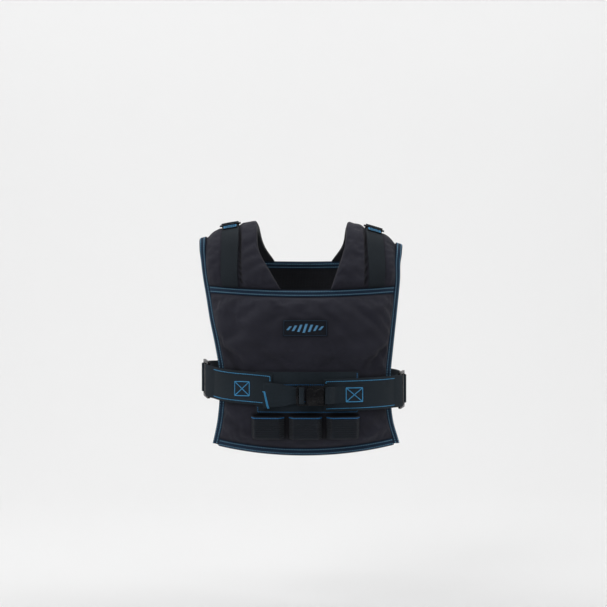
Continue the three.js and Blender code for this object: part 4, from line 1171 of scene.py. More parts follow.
def thread_material(name, color):
    """Twisted sewing thread, a little darker in patches."""
    made, tree, shader, coordinates = bare_material(name, specular=0.3, roughness=0.5)
    used = placed(tree, HANDLED, coordinates.outputs["Object"], Scale=90.0)
    dulled = mixed(tree, used.outputs["Shade"], color, tinted(color, 0.6))
    tree.links.new(dulled, shader.inputs["Base Color"])
    rough = maths(tree, "MULTIPLY_ADD", used.outputs["Grain"], 0.3, 0.4)
    tree.links.new(rough, shader.inputs["Roughness"])
    return made


CANVAS = cloth_material("matt canvas", (0.0152, 0.0154, 0.0242), WEAVE, 0.25, 0.03, Threads=900.0)
# The canvas gets painted shade where its pieces' point values ask for it.
paint_point_shade(CANVAS)
MESH_LINING = cloth_material("open mesh lining", (0.014, 0.015, 0.019), LINING, 0.8, Cells=330.0)
BINDING = cloth_material("navy tape", (0.007, 0.02, 0.042), RIBS, 0.25, 0.02, Ribs_along=800.0)
WEBBING = cloth_material("ribbed webbing", (0.0102, 0.017, 0.0238), RIBS, 0.5, 0.04)
SHOULDER_WEBBING = cloth_material("smooth webbing", (0.0076, 0.0122, 0.0172), RIBS, 0.4, 0.03)
POUCH_WEBBING = cloth_material(
    "wide ribbed webbing",
    (0.0075, 0.0105, 0.0155),
    RIBS,
    1.2,
    0.03,
    Ribs_along=900.0,
    Ribs_across=125.0,
    Ridge=0.9,
)
PATCH = cloth_material("woven patch", (0.006, 0.008, 0.013), WEAVE, 0.2, Threads=1500.0)
PLASTIC = plastic_material("moulded plastic", (0.0022, 0.0024, 0.0035))
SKY_THREAD = thread_material("sky blue thread", (0.25, 0.54, 0.76))
BLUE_THREAD = thread_material("bright blue thread", (0.07, 0.37, 0.7))
BAR_THREAD = thread_material("dull blue thread", (0.11, 0.31, 0.53))
POUCH_THREAD = thread_material("deep blue thread", (0.02, 0.17, 0.42))


# Stitches: one small rounded stitch, copied along lines of points with their normals.

STITCH_SECTIONS = ((-0.5, 0.3, -0.45), (-0.33, 1.0, 0.15), (0.33, 1.0, 0.15), (0.5, 0.3, -0.45))
STITCH_SIDES = 6
# Pitch, share of the pitch that a stitch takes, and width, for each kind of seam.
TAPE_SEAM = (4.8, 0.5, 1.25)
TAB_SEAM = (3.2, 0.8, 1.2)
WING_SEAM = (3.4, 0.86, 1.15)
BOX_SEAM = (1.9, 1.0, 1.6)
KEEPER_SEAM = (3.4, 0.8, 1.1)
POUCH_SEAM = (3.0, 0.9, 1.7)
BORDER_SEAM = (2.0, 1.0, 1.5)


def stitch_faces():
    faces = []
    sections = len(STITCH_SECTIONS)
    for i in range(sections - 1):
        for j in range(STITCH_SIDES):
            k = (j + 1) % STITCH_SIDES
            a, b = i * STITCH_SIDES, (i + 1) * STITCH_SIDES
            faces.append((a + j, b + j, b + k, a + k))
    faces.append(tuple(range(STITCH_SIDES)))
    faces.append(tuple((sections - 1) * STITCH_SIDES + j for j in reversed(range(STITCH_SIDES))))
    return faces


STITCH_FACES = stitch_faces()


def stitch_points(points, normals, pitch, share, width):
    """The points of the stitches along a line, a row of them for each stitch."""
    run = np.concatenate([[0], np.cumsum(np.linalg.norm(np.diff(points, axis=0), axis=1))])
    count = max(1, int(round(run[-1] / pitch)))
    wanted = (np.arange(count) + 0.5) * run[-1] / count
    at = lambda values, where: np.stack([np.interp(where, run, values[:, k]) for k in range(3)], -1)
    along = unit(at(points, wanted + 0.8) - at(points, wanted - 0.8))
    out = unit(at(normals, wanted))
    aside = unit(np.cross(out, along))
    middle = at(points, wanted)
    span = share * run[-1] / count
    rings = []
    for place, size, lift in STITCH_SECTIONS:
        core = middle + along * place * span + out * lift * width
        for angle in np.arange(STITCH_SIDES) * 2 * math.pi / STITCH_SIDES:
            reach = aside * math.cos(angle) + out * 0.7 * math.sin(angle)
            rings.append(core + reach * size * width / 2)
    return np.stack(rings, 1)


def stitching(name, rows, skin, seam):
    made = np.concatenate([stitch_points(points, normals, *seam) for points, normals in rows])
    size = made.shape[1]
    faces = [tuple(i * size + v for v in face) for i in range(len(made)) for face in STITCH_FACES]
    obj = new_object(name, made.reshape(-1, 3), faces)
    face_out(obj)
    dress(obj, skin)


def tape_rows(at, intos=(3.0, 10.0)):
    """Stitch lines on both faces of a tape, where at gives its points for places in and out."""
    rows = []
    for into in intos:
        for out, face in ((RIM_THICKNESS + SEAM_GAP + TAPE, 1), (-SEAM_GAP - TAPE, -1)):
            points = at(into, out)
            rows.append((points, unit(at(into, out + face) - points)))
    return rows


def belt_row(turn, z, out):
    turn, z = np.broadcast_arrays(np.asarray(turn, float), np.asarray(z, float))
    up = z - belt_height(turn)
    points = belt_point(turn, out, up)
    return points, unit(belt_point(turn, out + 1, up) - points)


def belt_lines(places, out):
    """Stitch lines on the belt through corners, each a place across and a height."""
    rows = []
    for (x0, z0), (x1, z1) in zip(places, places[1:]):
        share = np.linspace(0, 1, 24)
        rows.append(belt_row(turn_to(lerp(x0, x1, share)), lerp(z0, z1, share), out))
    return rows


def crossed_box(left, right, low, high, out):
    corners = [(left, low), (right, low), (right, high), (left, high), (left, low)]
    rows = belt_lines(corners, out)
    rows += belt_lines([corners[0], corners[2]], out)
    rows += belt_lines([corners[1], corners[3]], out)
    return rows


def sewn_lines(places, off):
    rows = []
    for (x0, z0), (x1, z1) in zip(places, places[1:]):
        share = np.linspace(0, 1, 40)
        x, z = lerp(x0, x1, share), lerp(z0, z1, share)
        path = path_at(FRONT, x, z)
        rows.append((on_panel(FRONT, path, x, np.full(x.shape, float(off))), outward(path, x)))
    return rows


def on_grid(grid, row, column, lift, inside):
    """Points above a grid at parts of its rows and columns, on the side away from a point inside."""
    row, column = np.broadcast_arrays(np.asarray(row, float), np.asarray(column, float))

    def at(r, c):
        r, c = np.clip(r, 0, grid.shape[0] - 1), np.clip(c, 0, grid.shape[1] - 1)
        i = np.minimum(r.astype(int), grid.shape[0] - 2)
        j = np.minimum(c.astype(int), grid.shape[1] - 2)
        low = lerp(grid[i, j], grid[i, j + 1], (c - j)[:, None])
        high = lerp(grid[i + 1, j], grid[i + 1, j + 1], (c - j)[:, None])
        return lerp(low, high, (r - i)[:, None])

    points = at(row, column)
    step = 0.4
    down = at(row + step, column) - at(row - step, column)
    across = at(row, column + step) - at(row, column - step)
    normal = unit(np.cross(down, across))
    normal *= np.sign(((points - inside) * normal).sum(-1, keepdims=True))
    return points + normal * lift, normal


# Padded cloth: small puckers at the seams, then a cloth simulation under pressure.

RIPPLES = ((0.9, 52, 20), (0.7, 33, 75), (0.5, 24, -40), (0.6, 41, 130))
PUCKER_PITCH = 13
PUCKER_REACH = 16
PUCKER_HEIGHT = 1.1


def ripples(across, along):
    """Broad low waves in cloth: height, length and direction of each."""
    height = 0
    for i, (size, length, turn) in enumerate(RIPPLES):
        cosine, sine = math.cos(math.radians(turn)), math.sin(math.radians(turn))
        run = across * cosine + along * sine + 9 * np.sin(across / 61 + 2 * i) + 7 * np.sin(along / 47 + i)
        height = height + size * np.sin(2 * math.pi * run / length + 1.7 * i)
    return height


def puckers(place, from_seam):
    bunch = 0.6 + 0.4 * np.sin(place / 23)
    wave = np.sin(2 * math.pi * place / PUCKER_PITCH + 1.5 * np.sin(place / 19))
    return PUCKER_HEIGHT * bunch * wave * np.exp(-np.maximum(from_seam, 0) / PUCKER_REACH)


def near_zone(x, z, left, right, low, high, fade):
    """1 inside a rectangle on the front, falling to 0 over a distance."""
    aside = np.maximum(np.maximum(left - x, x - right), 0)
    above = np.maximum(np.maximum(low - z, z - high), 0)
    return 1 - smoothstep(np.hypot(aside, above), 0, fade)


# Soft folds above the belt on the front: both ends, depth and width.
CREASES = (
    (-149, -218, -116, -262, 3.2, 6),
    (-70, -236, -34, -262, 2.2, 7),
    (32, -240, 84, -258, 2.0, 7),
    (106, -258, 141, -224, 3.4, 6),
    (-96, -214, -60, -226, 1.4, 8),
    (64, -206, 120, -196, 1.4, 9),
    (-150, -352, -112, -376, 2.4, 8),
    (112, -366, 146, -346, 2.4, 8),
    (-128, -140, -92, -122, 1.6, 7),
    (84, -124, 122, -146, 1.6, 7),
)


def creases(x, z):
    depth = 0
    for x0, z0, x1, z1, deep, wide in CREASES:
        length = math.hypot(x1 - x0, z1 - z0)
        along = ((x - x0) * (x1 - x0) + (z - z0) * (z1 - z0)) / length
        off = ((x - x0) * (z1 - z0) - (z - z0) * (x1 - x0)) / length + 3 * np.sin(along / 14)
        beyond = np.maximum(np.maximum(-along, along - length), 0)
        depth = depth + deep * np.exp(-((off / wide) ** 2) - (beyond / 9) ** 2)
        depth = depth - 0.5 * deep * np.exp(-(((np.abs(off) - 1.9 * wide) / wide) ** 2) - (beyond / 9) ** 2)
    return depth


def set_painted_shade(obj, values):
    """Keeps how much painted shade each point of a piece's outer face gets, from 0 to 1."""
    kept = np.zeros(len(obj.data.vertices))
    kept[: values.size] = np.clip(values, 0, 1).ravel()
    obj.data.attributes.new("pressed_and_painted_shade", "FLOAT", "POINT").data.foreach_set("value", kept)


# How much painted shade the front panel gets behind the pouches, along the belt and for a crease 1 mm deep.
SHADE_BEHIND_POUCHES = 0.85
SHADE_ALONG_BELT = 0.5
SHADE_IN_CREASES = 0.1


# Painted shade on the front panel: behind the pouches, along the belt and in the creases.
def painted_shade_on_front(x, z):
    reach = POUCH_PITCH + POUCH_WIDTH / 2
    foot = -POUCH_DROP - POUCH_HEIGHT
    behind = near_zone(x, z, POUCH_CENTRE - reach, POUCH_CENTRE + reach, foot, -POUCH_DROP + 2, 4)
    from_belt = np.abs(z - belt_height(turn_to(x))) - BELT_WIDTH / 2
    beside_belt = 1 - smoothstep(from_belt, -2, 9)
    return np.maximum(SHADE_BEHIND_POUCHES * behind, SHADE_ALONG_BELT * beside_belt) + SHADE_IN_CREASES * creases(x, z)


HELD_ROUND = 2


def held_zones():
    """Rectangles of the front panel that sewn pieces hold, with a little round them."""
    half_patch = PATCH_HEIGHT / 2
    pouches = POUCH_PITCH + POUCH_WIDTH / 2 + POUCH_SPLAY + 1
    pieces = (
        (PATCH_CENTRE, PATCH_WIDTH / 2, -PATCH_DROP - half_patch, -PATCH_DROP + half_patch),
        (KEEPER_CENTRE, KEEPER_WIDTH / 2, KEEPER_FOOT, KEEPER_TOP),
        (POUCH_CENTRE, pouches, -POUCH_DROP - POUCH_HEIGHT, -POUCH_DROP),
    )
    return [
        (middle - half - HELD_ROUND, middle + half + HELD_ROUND, low - HELD_ROUND, high + HELD_ROUND)
        for middle, half, low, high in pieces
    ]


def panel_held(side, path, x, z):
    """1 where a panel is sewn or held down, 0 where it is free."""
    off = np.abs(z - belt_height(turn_beside(side, x)))
    held = 1 - smoothstep(off - BELT_WIDTH / 2 - 3, 0, 16)
    held = np.maximum(held, 1 - smoothstep(np.minimum.reduce(panel_seams(side, path, x)), 0, 7))
    if side == FRONT:
        for zone in held_zones():
            held = np.maximum(held, near_zone(x, z, *zone, 9))
    return held


def build_panel(side, name):
    path, x = panel_grid(side)
    outer = on_panel(side, path, x)
    held = panel_held(side, path, x, outer[..., 2])
    from_side, from_top, from_foot = panel_seams(side, path, x)
    along = lengths_over(outer, 0)
    relief = puckers(x, from_top) + puckers(x + 5, from_foot) + puckers(along, from_side)
    relief += ripples(x + 37 * side, along)
    relief -= creases(side * x, outer[..., 2])
    outer = outer + outward(path, x) * (relief * (1 - held))[..., None]
    obj = shell(name, outer, body_point(path, x))
    # Painted shade for the front panel behind the pouches, along the belt and in the creases.
    if side == FRONT:
        set_painted_shade(obj, painted_shade_on_front(x, outer[..., 2]))
    return obj, np.concatenate([held.ravel(), np.ones(held.size)])


# The line sewn beside the strap, the padding's lip at the neck and its fall to the outer rim.
GROOVE_WIDTH = 2.0
GROOVE_DEPTH = 7.0
NECK_LIP = 5
LIP_RISE = 4
LIP_WIDTH = 8
LIP_ROUNDING = 5
ROLL_INSET = 9
RIM_FALL = 34


def pad_groove(path, x, hand):
    """The sewn line between the neck roll and the strap's part of a pad."""
    off = (strap_middle(path, hand) - x) * hand * strap_scale(path, hand) - SHOULDER_STRAP_WIDTH / 2
    place = lerp(2, 5.5, smoothstep(np.abs(path), 0.05, 0.36))
    return GROOVE_DEPTH * np.exp(-(((off - place) / GROOVE_WIDTH) ** 2))


def on_shoulder(path, near, far):
    """1 on top of the shoulder, falling to 0 down the chest and the back."""
    return 1 - smoothstep(np.abs(path), near, far)


def lip_edge(path, hand):
    return inside_neck(path, hand, -NECK_LIP * on_shoulder(path, 0.05, 0.2))


def build_pad(hand, name):
    path_of = pad_path_of(closing(PAD_ROWS, 0.3)[:, None])
    start = np.full((PAD_ROWS + 1, 1), float(strap_middle(0, hand)))
    neck = settle(path_of, lambda path: lip_edge(path, hand), start)
    rim = settle(path_of, lambda path: inside_edge(path, hand, TAPE + SEAM_GAP), start)
    x = lerp(neck, rim, closing(PAD_COLUMNS, 0.45)[None, :])
    path = path_of(x)
    from_neck = hand * (x - lip_edge(path, hand))
    from_rim = hand * (inside_edge(path, hand, TAPE_WIDTH) - x)
    from_end = from_pad_ends(path, x)
    off_strap = beside_strap(path, x, hand)

    on_top = on_shoulder(path, 0.08, 0.24)
    full_x = hand * np.maximum(hand * x, hand * inside_neck(path, hand, 0) + ROLL_INSET * on_top)
    thick = pad_thickness(path, full_x, hand) + LIP_RISE * on_top * np.exp(-((from_neck / LIP_WIDTH) ** 2))
    thick = thick * lerp(0.75, 1, puff(from_neck / LIP_ROUNDING))
    thick = thick * lerp(1, lerp(0.3, 1, np.clip(from_rim / RIM_FALL, 0, 1)), on_top)

    seams = np.minimum(from_rim, from_end)
    held = np.maximum(1 - smoothstep(seams, 0, 8), 1 - smoothstep(off_strap, 1.5, 9))
    along = lengths_over(body_point(path, x), 0)
    free = (1 - held) * smoothstep(from_neck, 0, 10)
    relief = (puckers(x, from_end) + puckers(along, from_rim) * 0.6 + 0.45 * ripples(x, along)) * free
    groove = pad_groove(path, x, hand) * smoothstep(from_end, 0, 7)
    groove = groove * (1 - 0.9 * on_shoulder(path, 0.03, 0.12))
    outer = lifted(path, x, thick + relief - groove)
    held = np.maximum(held, smoothstep(groove, 0.3, 1.5))
    held = np.maximum(held, 1 - smoothstep(from_neck, 0, 6))
    obj = shell(name, outer, body_point(path, x))
    # Painted shade in the sewn groove and along the strap's edges.
    set_painted_shade(obj, groove / 6 + 0.3 * (1 - smoothstep(np.abs(off_strap), 0, 3)))
    return obj, np.concatenate([held.ravel(), np.ones(held.size)])


SETTLE_FRAMES = 16


def settle_cloth(pads):
    """Lets padded pieces swell together under pressure. Each comes with its held weights and a cap."""
    rest = []
    for obj, held, _ in pads:
        group = obj.vertex_groups.new(name="held")
        for index, weight in enumerate(held):
            if weight > 0.02:
                group.add([index], float(weight), "REPLACE")
        cloth = obj.modifiers.new("cloth", "CLOTH")
        cloth.settings.quality = 4
        cloth.settings.vertex_group_mass = "held"
        cloth.settings.use_pressure = True
        cloth.settings.uniform_pressure_force = 4
        cloth.settings.shrink_min = -0.035
        cloth.settings.tension_stiffness = 12
        cloth.settings.bending_stiffness = 0.2
        cloth.settings.effector_weights.gravity = 0
        cloth.point_cache.frame_start, cloth.point_cache.frame_end = 1, SETTLE_FRAMES
        rest.append(mesh_points(obj.data))
    for step in range(1, SETTLE_FRAMES + 1):
        bpy.context.scene.frame_set(step)
    graph = bpy.context.evaluated_depsgraph_get()
    for (obj, held, cap), start in zip(pads, rest):
        moved = mesh_points(obj.evaluated_get(graph).data) - start
        far = np.linalg.norm(moved, axis=1, keepdims=True) + 1e-9
        moved *= np.minimum(1, cap * MM * np.tanh(far / (cap * MM)) / far) * (1 - held[:, None])
        obj.modifiers.clear()
        obj.vertex_groups.clear()
        obj.data.vertices.foreach_set("co", (start + moved).ravel())
        obj.data.update()
    bpy.context.scene.frame_set(1)


def mesh_points(mesh):
    points = np.empty(len(mesh.vertices) * 3)
    mesh.vertices.foreach_get("co", points)
    return points.reshape(-1, 3)


# Hard pieces. A moulded copy of a solid has its edges rounded.


def moulded_copy(node, radius):
    obj = bpy.data.objects.new("moulded_" + node, nodes[node].data.copy())
    bpy.context.scene.collection.objects.link(obj)
    bm = bmesh.new()
    bm.from_mesh(obj.data)
    bmesh.ops.remove_doubles(bm, verts=bm.verts, dist=0.02 * MM)
    bmesh.ops.dissolve_limit(bm, angle_limit=math.radians(2), verts=bm.verts, edges=bm.edges)
    bm.to_mesh(obj.data)
    bm.free()
    rounded(obj, radius, segments=3, degrees=28)
    dress(obj, PLASTIC, node)


def buckle_seat():
    turn = turn_to(BUCKLE_CENTRE)
    _, away = girth_at(turn)
    seat = Matrix.Identity(4)
    seat.col[0][:3] = (-away[1], away[0], 0)
    seat.col[1][:3] = (0, 0, 1)
    seat.col[2][:3] = (away[0], away[1], 0)
    seat.translation = Vector(belt_point(turn, BUCKLE_OUT, 0, buckle_height)) * MM
    return seat


# The raised face's upper edge, mirrored for the lower one: places along the socket and up.
FACE_EDGE = (
    (-15.5, 12.6),
    (-9.5, 13.6),
    (-5.0, 12.2),
    (0.0, 8.6),
    (5.0, 12.2),
    (9.0, 13.6),
    (13.5, 13.6),
    (15.0, 12.0),
)
FACE_INSET = 6
FACE_SINK = 0.8
FACE_DEPTH = 2.8
FACE_ROUNDING = 1.3


def socket_face():
    """The raised front of the socket, with a scoop for the fingers at the top and the foot."""
    middle = (PLUG_END + 2 * SEAM_GAP + SOCKET_END - SOCKET_BAR - FACE_INSET) / 2
    bpy.ops.mesh.primitive_grid_add(x_subdivisions=len(FACE_EDGE) - 1, y_subdivisions=1, size=2 * MM)
    obj = bpy.context.active_object
    obj.name = "buckle_socket_face"
    order = sorted({round(v.co.x, 7) for v in obj.data.vertices})
    for v in obj.data.vertices:
        along, up = FACE_EDGE[order.index(round(v.co.x, 7))]
        v.co = Vector((middle + along, up if v.co.y > 0 else -up, BUCKLE_THICKNESS - FACE_SINK)) * MM
    bpy.ops.object.mode_set(mode="EDIT")
    bpy.ops.mesh.select_all(action="SELECT")
    bpy.ops.mesh.extrude_region_move(TRANSFORM_OT_translate={"value": (0, 0, FACE_DEPTH * MM)})
    bpy.ops.object.mode_set(mode="OBJECT")
    obj.data.transform(buckle_seat())
    face_out(obj)
    rounded(obj, FACE_ROUNDING, segments=4, degrees=50)
    dress(obj, PLASTIC)


# Putting the pieces together.


def dress(obj, skin, node=None):
    """Gives a piece its material, smooth shading and body, and hides the solid it stands for."""
    obj.data.materials.clear()
    obj.data.materials.append(skin)
    smooth(obj)
    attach(obj, "root")
    if node:
        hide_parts(node)


def cloth_piece(node, grid, thickness, skin):
    obj = cloth_strip("cloth_" + node, grid, thickness)
    dress(obj, skin, node)


def add_lining(obj, outer_faces):
    """Gives the body side of a padded piece its open lining."""
    obj.data.materials.append(MESH_LINING)
    for polygon in obj.data.polygons[outer_faces:]:
        polygon.material_index = 1


def dress_pads():
    made = {}
    for where, side in SIDES:
        obj, held = build_panel(side, f"padded_{where}_panel")
        made[where] = (obj, held, PANEL_SWELL, f"{where}_panel", PANEL_FILL, PANEL_ROWS * PANEL_COLUMNS)
    for hand_name, hand in HANDS:
        obj, held = build_pad(hand, f"padded_shoulder_{hand_name}")
        node = f"shoulder_pad_{hand_name}"
        made[hand_name] = (obj, held, PAD_SWELL, node, PAD_FILL, PAD_ROWS * PAD_COLUMNS)
    settle_cloth([entry[:3] for entry in made.values()])
    for obj, _, _, node, fill, outer_faces in made.values():
        dress(obj, CANVAS, node)
        add_lining(obj, outer_faces)
        finish_with(obj, "SUBSURF", levels=1, render_levels=1)
        smooth(obj, 60)
    return {key: entry[0] for key, entry in made.items()}


pads = dress_pads()


def dress_tapes():
    shares = np.linspace(0.003, 0.997, 260)
    for where, side in SIDES:
        for kind, edge, inwards in (("band", band_edge(side), side), ("hem", hem_edge(side), -side)):
            node = f"{where}_{kind}"
            grid = build_cross_tape(edge, inwards)
            cloth_piece(node, grid, TAPE, BINDING)
            rows = tape_rows(lambda into, out: cross_tape_point(edge, inwards, shares, into, out))
            stitching(f"stitches_{node}", rows, SKY_THREAD, TAPE_SEAM)
    for hand_name, hand in HANDS:
        node = f"side_binding_{hand_name}"
        cloth_piece(node, build_side_tape(hand), TAPE, BINDING)
        paths = side_paths(hand, 700)
        rows = tape_rows(lambda into, out: side_tape_point(hand, paths, into, out))
        stitching(f"stitches_{node}", rows, SKY_THREAD, TAPE_SEAM)


# Row and column of the tab's grid at the start and the end of each line of stitches.
TAB_STITCHES = ((1, 1, 1, 11), (10, 1, 10, 11), (1, 1, 10, 1), (1, 11, 10, 11), (4, 1, 4, 11), (7, 1, 7, 11))


def dress_shoulders():
    for hand_name, hand in HANDS:
        node, strap = f"shoulder_strap_{hand_name}", shoulder_strap_grid(hand)
        cloth_piece(node, strap, STRAP_THICKNESS, SHOULDER_WEBBING)
        node, tab = f"shoulder_tab_{hand_name}", shoulder_tab_grid(hand)
        cloth_piece(node, tab, STRAP_THICKNESS, WEBBING)
        inside = tab.mean((0, 1)) - [0, 0, 40]
        rows = []
        for r0, c0, r1, c1 in TAB_STITCHES:
            share = np.linspace(0, 1, 20)
            rows.append(on_grid(tab, lerp(r0, r1, share), lerp(c0, c1, share), STRAP_THICKNESS / 2, inside))
        stitching(f"stitches_tab_{hand_name}", rows, BLUE_THREAD, TAB_SEAM)
        moulded_copy(f"shoulder_slider_{hand_name}", SLIDER_ROUNDING)


WING_FACE = WING_OUT + BELT_THICKNESS / 2
STRAP_FACE = STRAP_OUT + STRAP_THICKNESS / 2
# Rows of stitches round the wings, boxes with a cross as left, right, low and high, and lines
# through corners at the left end of the strap.
ROW_INSET = 5
ROW_FROM_RING = 17
ROW_FROM_END = 4
END_ROW = {LEFT: 9, RIGHT: 4}
LEFT_BOX = (-125, -99, -311.5, -285.5)
RIGHT_BOX = (76, 105, -322, -296.5)
STRAP_END_LINE = ((-75, -303.5), (-71, -303.5), (-64.5, -332), (-66.5, -333.5), (-62.5, -333.5))
STRAP_END_TACK = ((-72.5, -304), (-66.5, -332))
WING_END_TACK = ((-62, -297), (-60, -297))


def dress_belt():
    edge = BELT_WIDTH / 2 - ROW_INSET
    for hand_name, hand in HANDS:
        node = f"belt_wing_{hand_name}"
        cloth_piece(node, wing_grid(hand), BELT_THICKNESS, WEBBING)
        start = bar_turn(hand, -1) - hand * ROW_FROM_RING
        end = turn_to(BELT_ENDS[hand]) + hand * ROW_FROM_END
        turns = np.linspace(start, end, 80)
        rows = [belt_row(turns, belt_height(turns) + up, WING_FACE) for up in (edge, -edge)]
        for turn, low in ((start, -edge), (end, edge - END_ROW[hand])):
            up = np.linspace(edge, low, 20)
            rows.append(belt_row(np.full(20, turn), belt_height(turn) + up, WING_FACE))
        stitching(f"stitches_{node}", rows, BLUE_THREAD, WING_SEAM)
        moulded_copy(f"side_ring_{hand_name}", RING_ROUNDING)
    strap = back_strap_grid()
    cloth_piece("belt_back_strap", strap, STRAP_THICKNESS, WEBBING)
    boxes = crossed_box(*LEFT_BOX, WING_FACE) + crossed_box(*RIGHT_BOX, STRAP_FACE)
    boxes += belt_lines(STRAP_END_LINE, STRAP_FACE)
    boxes += belt_lines(WING_END_TACK, WING_FACE)
    boxes += belt_lines(STRAP_END_TACK, STRAP_FACE)
    stitching("stitches_belt_boxes", boxes, BLUE_THREAD, BOX_SEAM)


def dress_keeper():
    cloth_piece("keeper_patch", keeper_grid(), KEEPER_THICKNESS, CANVAS)
    left, right = KEEPER_LEFT + RAIL_SEAM_ENDS, KEEPER_RIGHT - RAIL_SEAM_ENDS
    off = RAIL_OUT + KEEPER_THICKNESS
    rows = []
    for node, top, high_end in (
        ("keeper_rail_top", KEEPER_TOP - RAIL_INSET, left + 3),
        ("keeper_rail_foot", KEEPER_FOOT + RAIL_WIDTH + RAIL_INSET, right),
    ):
        cloth_piece(node, rail_grid(top), KEEPER_THICKNESS, WEBBING)
        high, low = top - RAIL_SEAM_INSET, top - RAIL_WIDTH + RAIL_SEAM_INSET
        rows += sewn_lines([(right, high), (right, low), (left, low), (left, lerp(low, high, 0.5))], off)
        rows += sewn_lines([(left, high), (high_end, high)], off)
    stitching("stitches_keeper", rows, POUCH_THREAD, KEEPER_SEAM)


def dress_buckle():
    for node, grid in (("buckle_strap_left", left_strap_grid()), ("buckle_strap_right", right_strap_grid())):
        cloth_piece(node, grid, STRAP_THICKNESS, WEBBING)
    moulded_copy("buckle_plug", PLUG_ROUNDING)
    moulded_copy("buckle_socket", SOCKET_ROUNDING)
    socket_face()


def dress_pouches():
    for i in range(POUCH_COUNT):
        grid = pouch_grid(POUCH_CENTRE + (i - 1) * POUCH_PITCH)
        node = f"pouch_{i + 1}"
        cloth_piece(node, grid, POUCH_WALL, POUCH_WEBBING)
        inside = grid[:8].mean((0, 1)) + [0, 8, 0]
        columns = np.linspace(0.5, grid.shape[1] - 1.5, 60)
        rows = [on_grid(grid, 0.75, columns, POUCH_WALL / 2, inside)]
        stitching(f"stitches_{node}", rows, POUCH_THREAD, POUCH_SEAM)


BORDER_INSET = 1.6
BORDER_COLOR = (0.008, 0.025, 0.05)
BAR_TALL = (6, 9, 12, 15, 12, 9, 6)
BAR_PITCH = 9.2
BAR_WIDTH = 5.2
BAR_SLANT = 5.0
BAR_ROW = 0.95


def dress_name_patch():
    """A bare woven patch with a plain pattern of slanted bars."""
    cloth_piece("name_patch", name_patch_grid(), PATCH_THICKNESS, PATCH)
    off = SEWN_GAP + PATCH_THICKNESS
    half, tall = PATCH_WIDTH / 2 - BORDER_INSET, PATCH_HEIGHT / 2 - BORDER_INSET
    left, right = PATCH_CENTRE - half, PATCH_CENTRE + half
    high, low = -PATCH_DROP + tall, -PATCH_DROP - tall
    border = sewn_lines([(left, high), (right, high), (right, low), (left, low), (left, high)], off)
    dark_blue = thread_material("dark blue thread", BORDER_COLOR)
    stitching("stitches_patch_border", border, dark_blue, BORDER_SEAM)
    rows = []
    for i, size in enumerate(BAR_TALL):
        middle = PATCH_CENTRE + (i - (len(BAR_TALL) - 1) / 2) * BAR_PITCH
        for step in np.arange(0, size, BAR_ROW):
            z = -PATCH_DROP - size / 2 + step
            x = middle + BAR_SLANT * (step / size - 0.5)
            rows += sewn_lines([(x - BAR_WIDTH / 2, z), (x + BAR_WIDTH / 2, z)], off)
    stitching("patch_bars", rows, BAR_THREAD, (BAR_WIDTH, 1.0, 1.0))


dress_tapes()
dress_shoulders()
dress_belt()
dress_keeper()
dress_buckle()
dress_pouches()
dress_name_patch()

# Camera, backdrop and lights, in metres.

CAMERA_PLACE = (-0.001, -2.6, -0.141)
FOCAL_PIXELS = 1333.3
PICTURE = 607


def make_camera():
    data = bpy.data.cameras.new("camera")
    data.sensor_width = 36
    data.lens = data.sensor_width * FOCAL_PIXELS / PICTURE
    obj = bpy.data.objects.new("camera", data)
    obj.location = CAMERA_PLACE
    obj.rotation_euler = (math.radians(90), 0, 0)
    bpy.context.scene.collection.objects.link(obj)
    bpy.context.scene.camera = obj


STAGE_Z = -0.75
STAGE_START = -5.0
SWEEP_START = 1.4
SWEEP_RADIUS = 1.4
WALL_TOP = 5.0
HALF_WIDTH = 6.0
PAPER_COLOR = (0.86, 0.86, 0.86, 1)


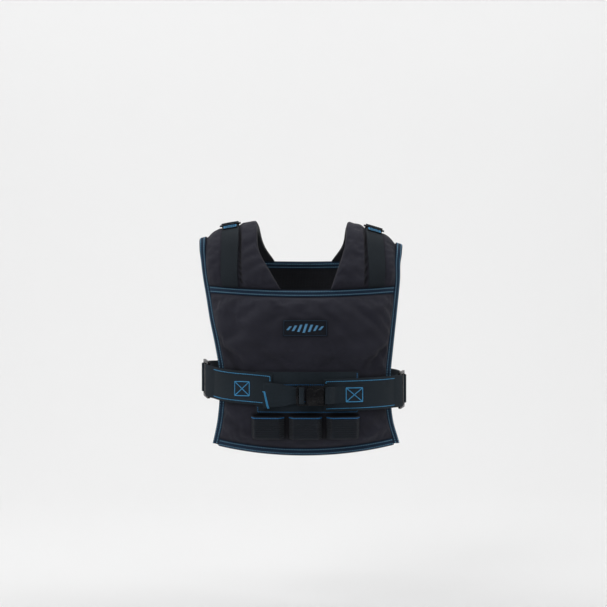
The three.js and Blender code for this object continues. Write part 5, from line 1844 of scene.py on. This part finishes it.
def make_backdrop():
    """A pale floor that rises in one sweep to a wall behind."""
    profile = [(STAGE_START, 0.0), (SWEEP_START, 0.0)]
    profile += [(SWEEP_START + along, up) for along, up in quarter_turn(SWEEP_RADIUS, 24)[1:]]
    profile.append((SWEEP_START + SWEEP_RADIUS, WALL_TOP))
    points = [(x, y, STAGE_Z + z) for y, z in profile for x in (-HALF_WIDTH, HALF_WIDTH)]
    faces = [(2 * i, 2 * i + 1, 2 * i + 3, 2 * i + 2) for i in range(len(profile) - 1)]
    mesh = bpy.data.meshes.new("backdrop")
    mesh.from_pydata(points, [], faces)
    obj = bpy.data.objects.new("backdrop", mesh)
    bpy.context.scene.collection.objects.link(obj)
    paper = bpy.data.materials.new("pale paper")
    paper.use_nodes = True
    shader = paper.node_tree.nodes["Principled BSDF"]
    shader.inputs["Base Color"].default_value = PAPER_COLOR
    shader.inputs["Roughness"].default_value = 0.95
    obj.data.materials.append(paper)
    for polygon in mesh.polygons:
        polygon.use_smooth = True


VEST_MIDDLE = (0, 0, -0.2)
WALL_MIDDLE = (0, 2.8, 0.3)
# Place, the place it is turned to, width and height, and power of each soft light.
LIGHTS = {
    "key": ((-1.5, -2.2, 1.5), VEST_MIDDLE, (1.5, 1.5), 22),
    "fill": ((1.8, -2.2, 0.7), VEST_MIDDLE, (1.5, 1.5), 3),
    "top": ((0, 0.3, 2.4), VEST_MIDDLE, (2.4, 2.4), 14),
    "strip": ((-0.2, -0.9, 2.1), VEST_MIDDLE, (1.6, 0.14), 5),
    "backdrop left": ((-2.2, 0.2, 2.2), WALL_MIDDLE, (2.0, 2.0), 46),
    "backdrop right": ((2.2, 0.2, 2.2), WALL_MIDDLE, (2.0, 2.0), 46),
}
WORLD_STRENGTH = 0.26


def make_lights():
    for name, (place, target, size, power) in LIGHTS.items():
        data = bpy.data.lights.new(name, "AREA")
        data.shape = "RECTANGLE"
        data.size, data.size_y = size
        data.energy = power
        obj = bpy.data.objects.new(name, data)
        obj.location = place
        obj.rotation_euler = (Vector(target) - obj.location).to_track_quat("-Z", "Y").to_euler()
        bpy.context.scene.collection.objects.link(obj)
    world = bpy.data.worlds.new("studio")
    bpy.context.scene.world = world
    world.use_nodes = True
    background = world.node_tree.nodes["Background"]
    background.inputs["Color"].default_value = (1, 1, 1, 1)
    background.inputs["Strength"].default_value = WORLD_STRENGTH


bpy.context.scene.view_settings.view_transform = "Standard"
make_camera()
make_backdrop()
make_lights()
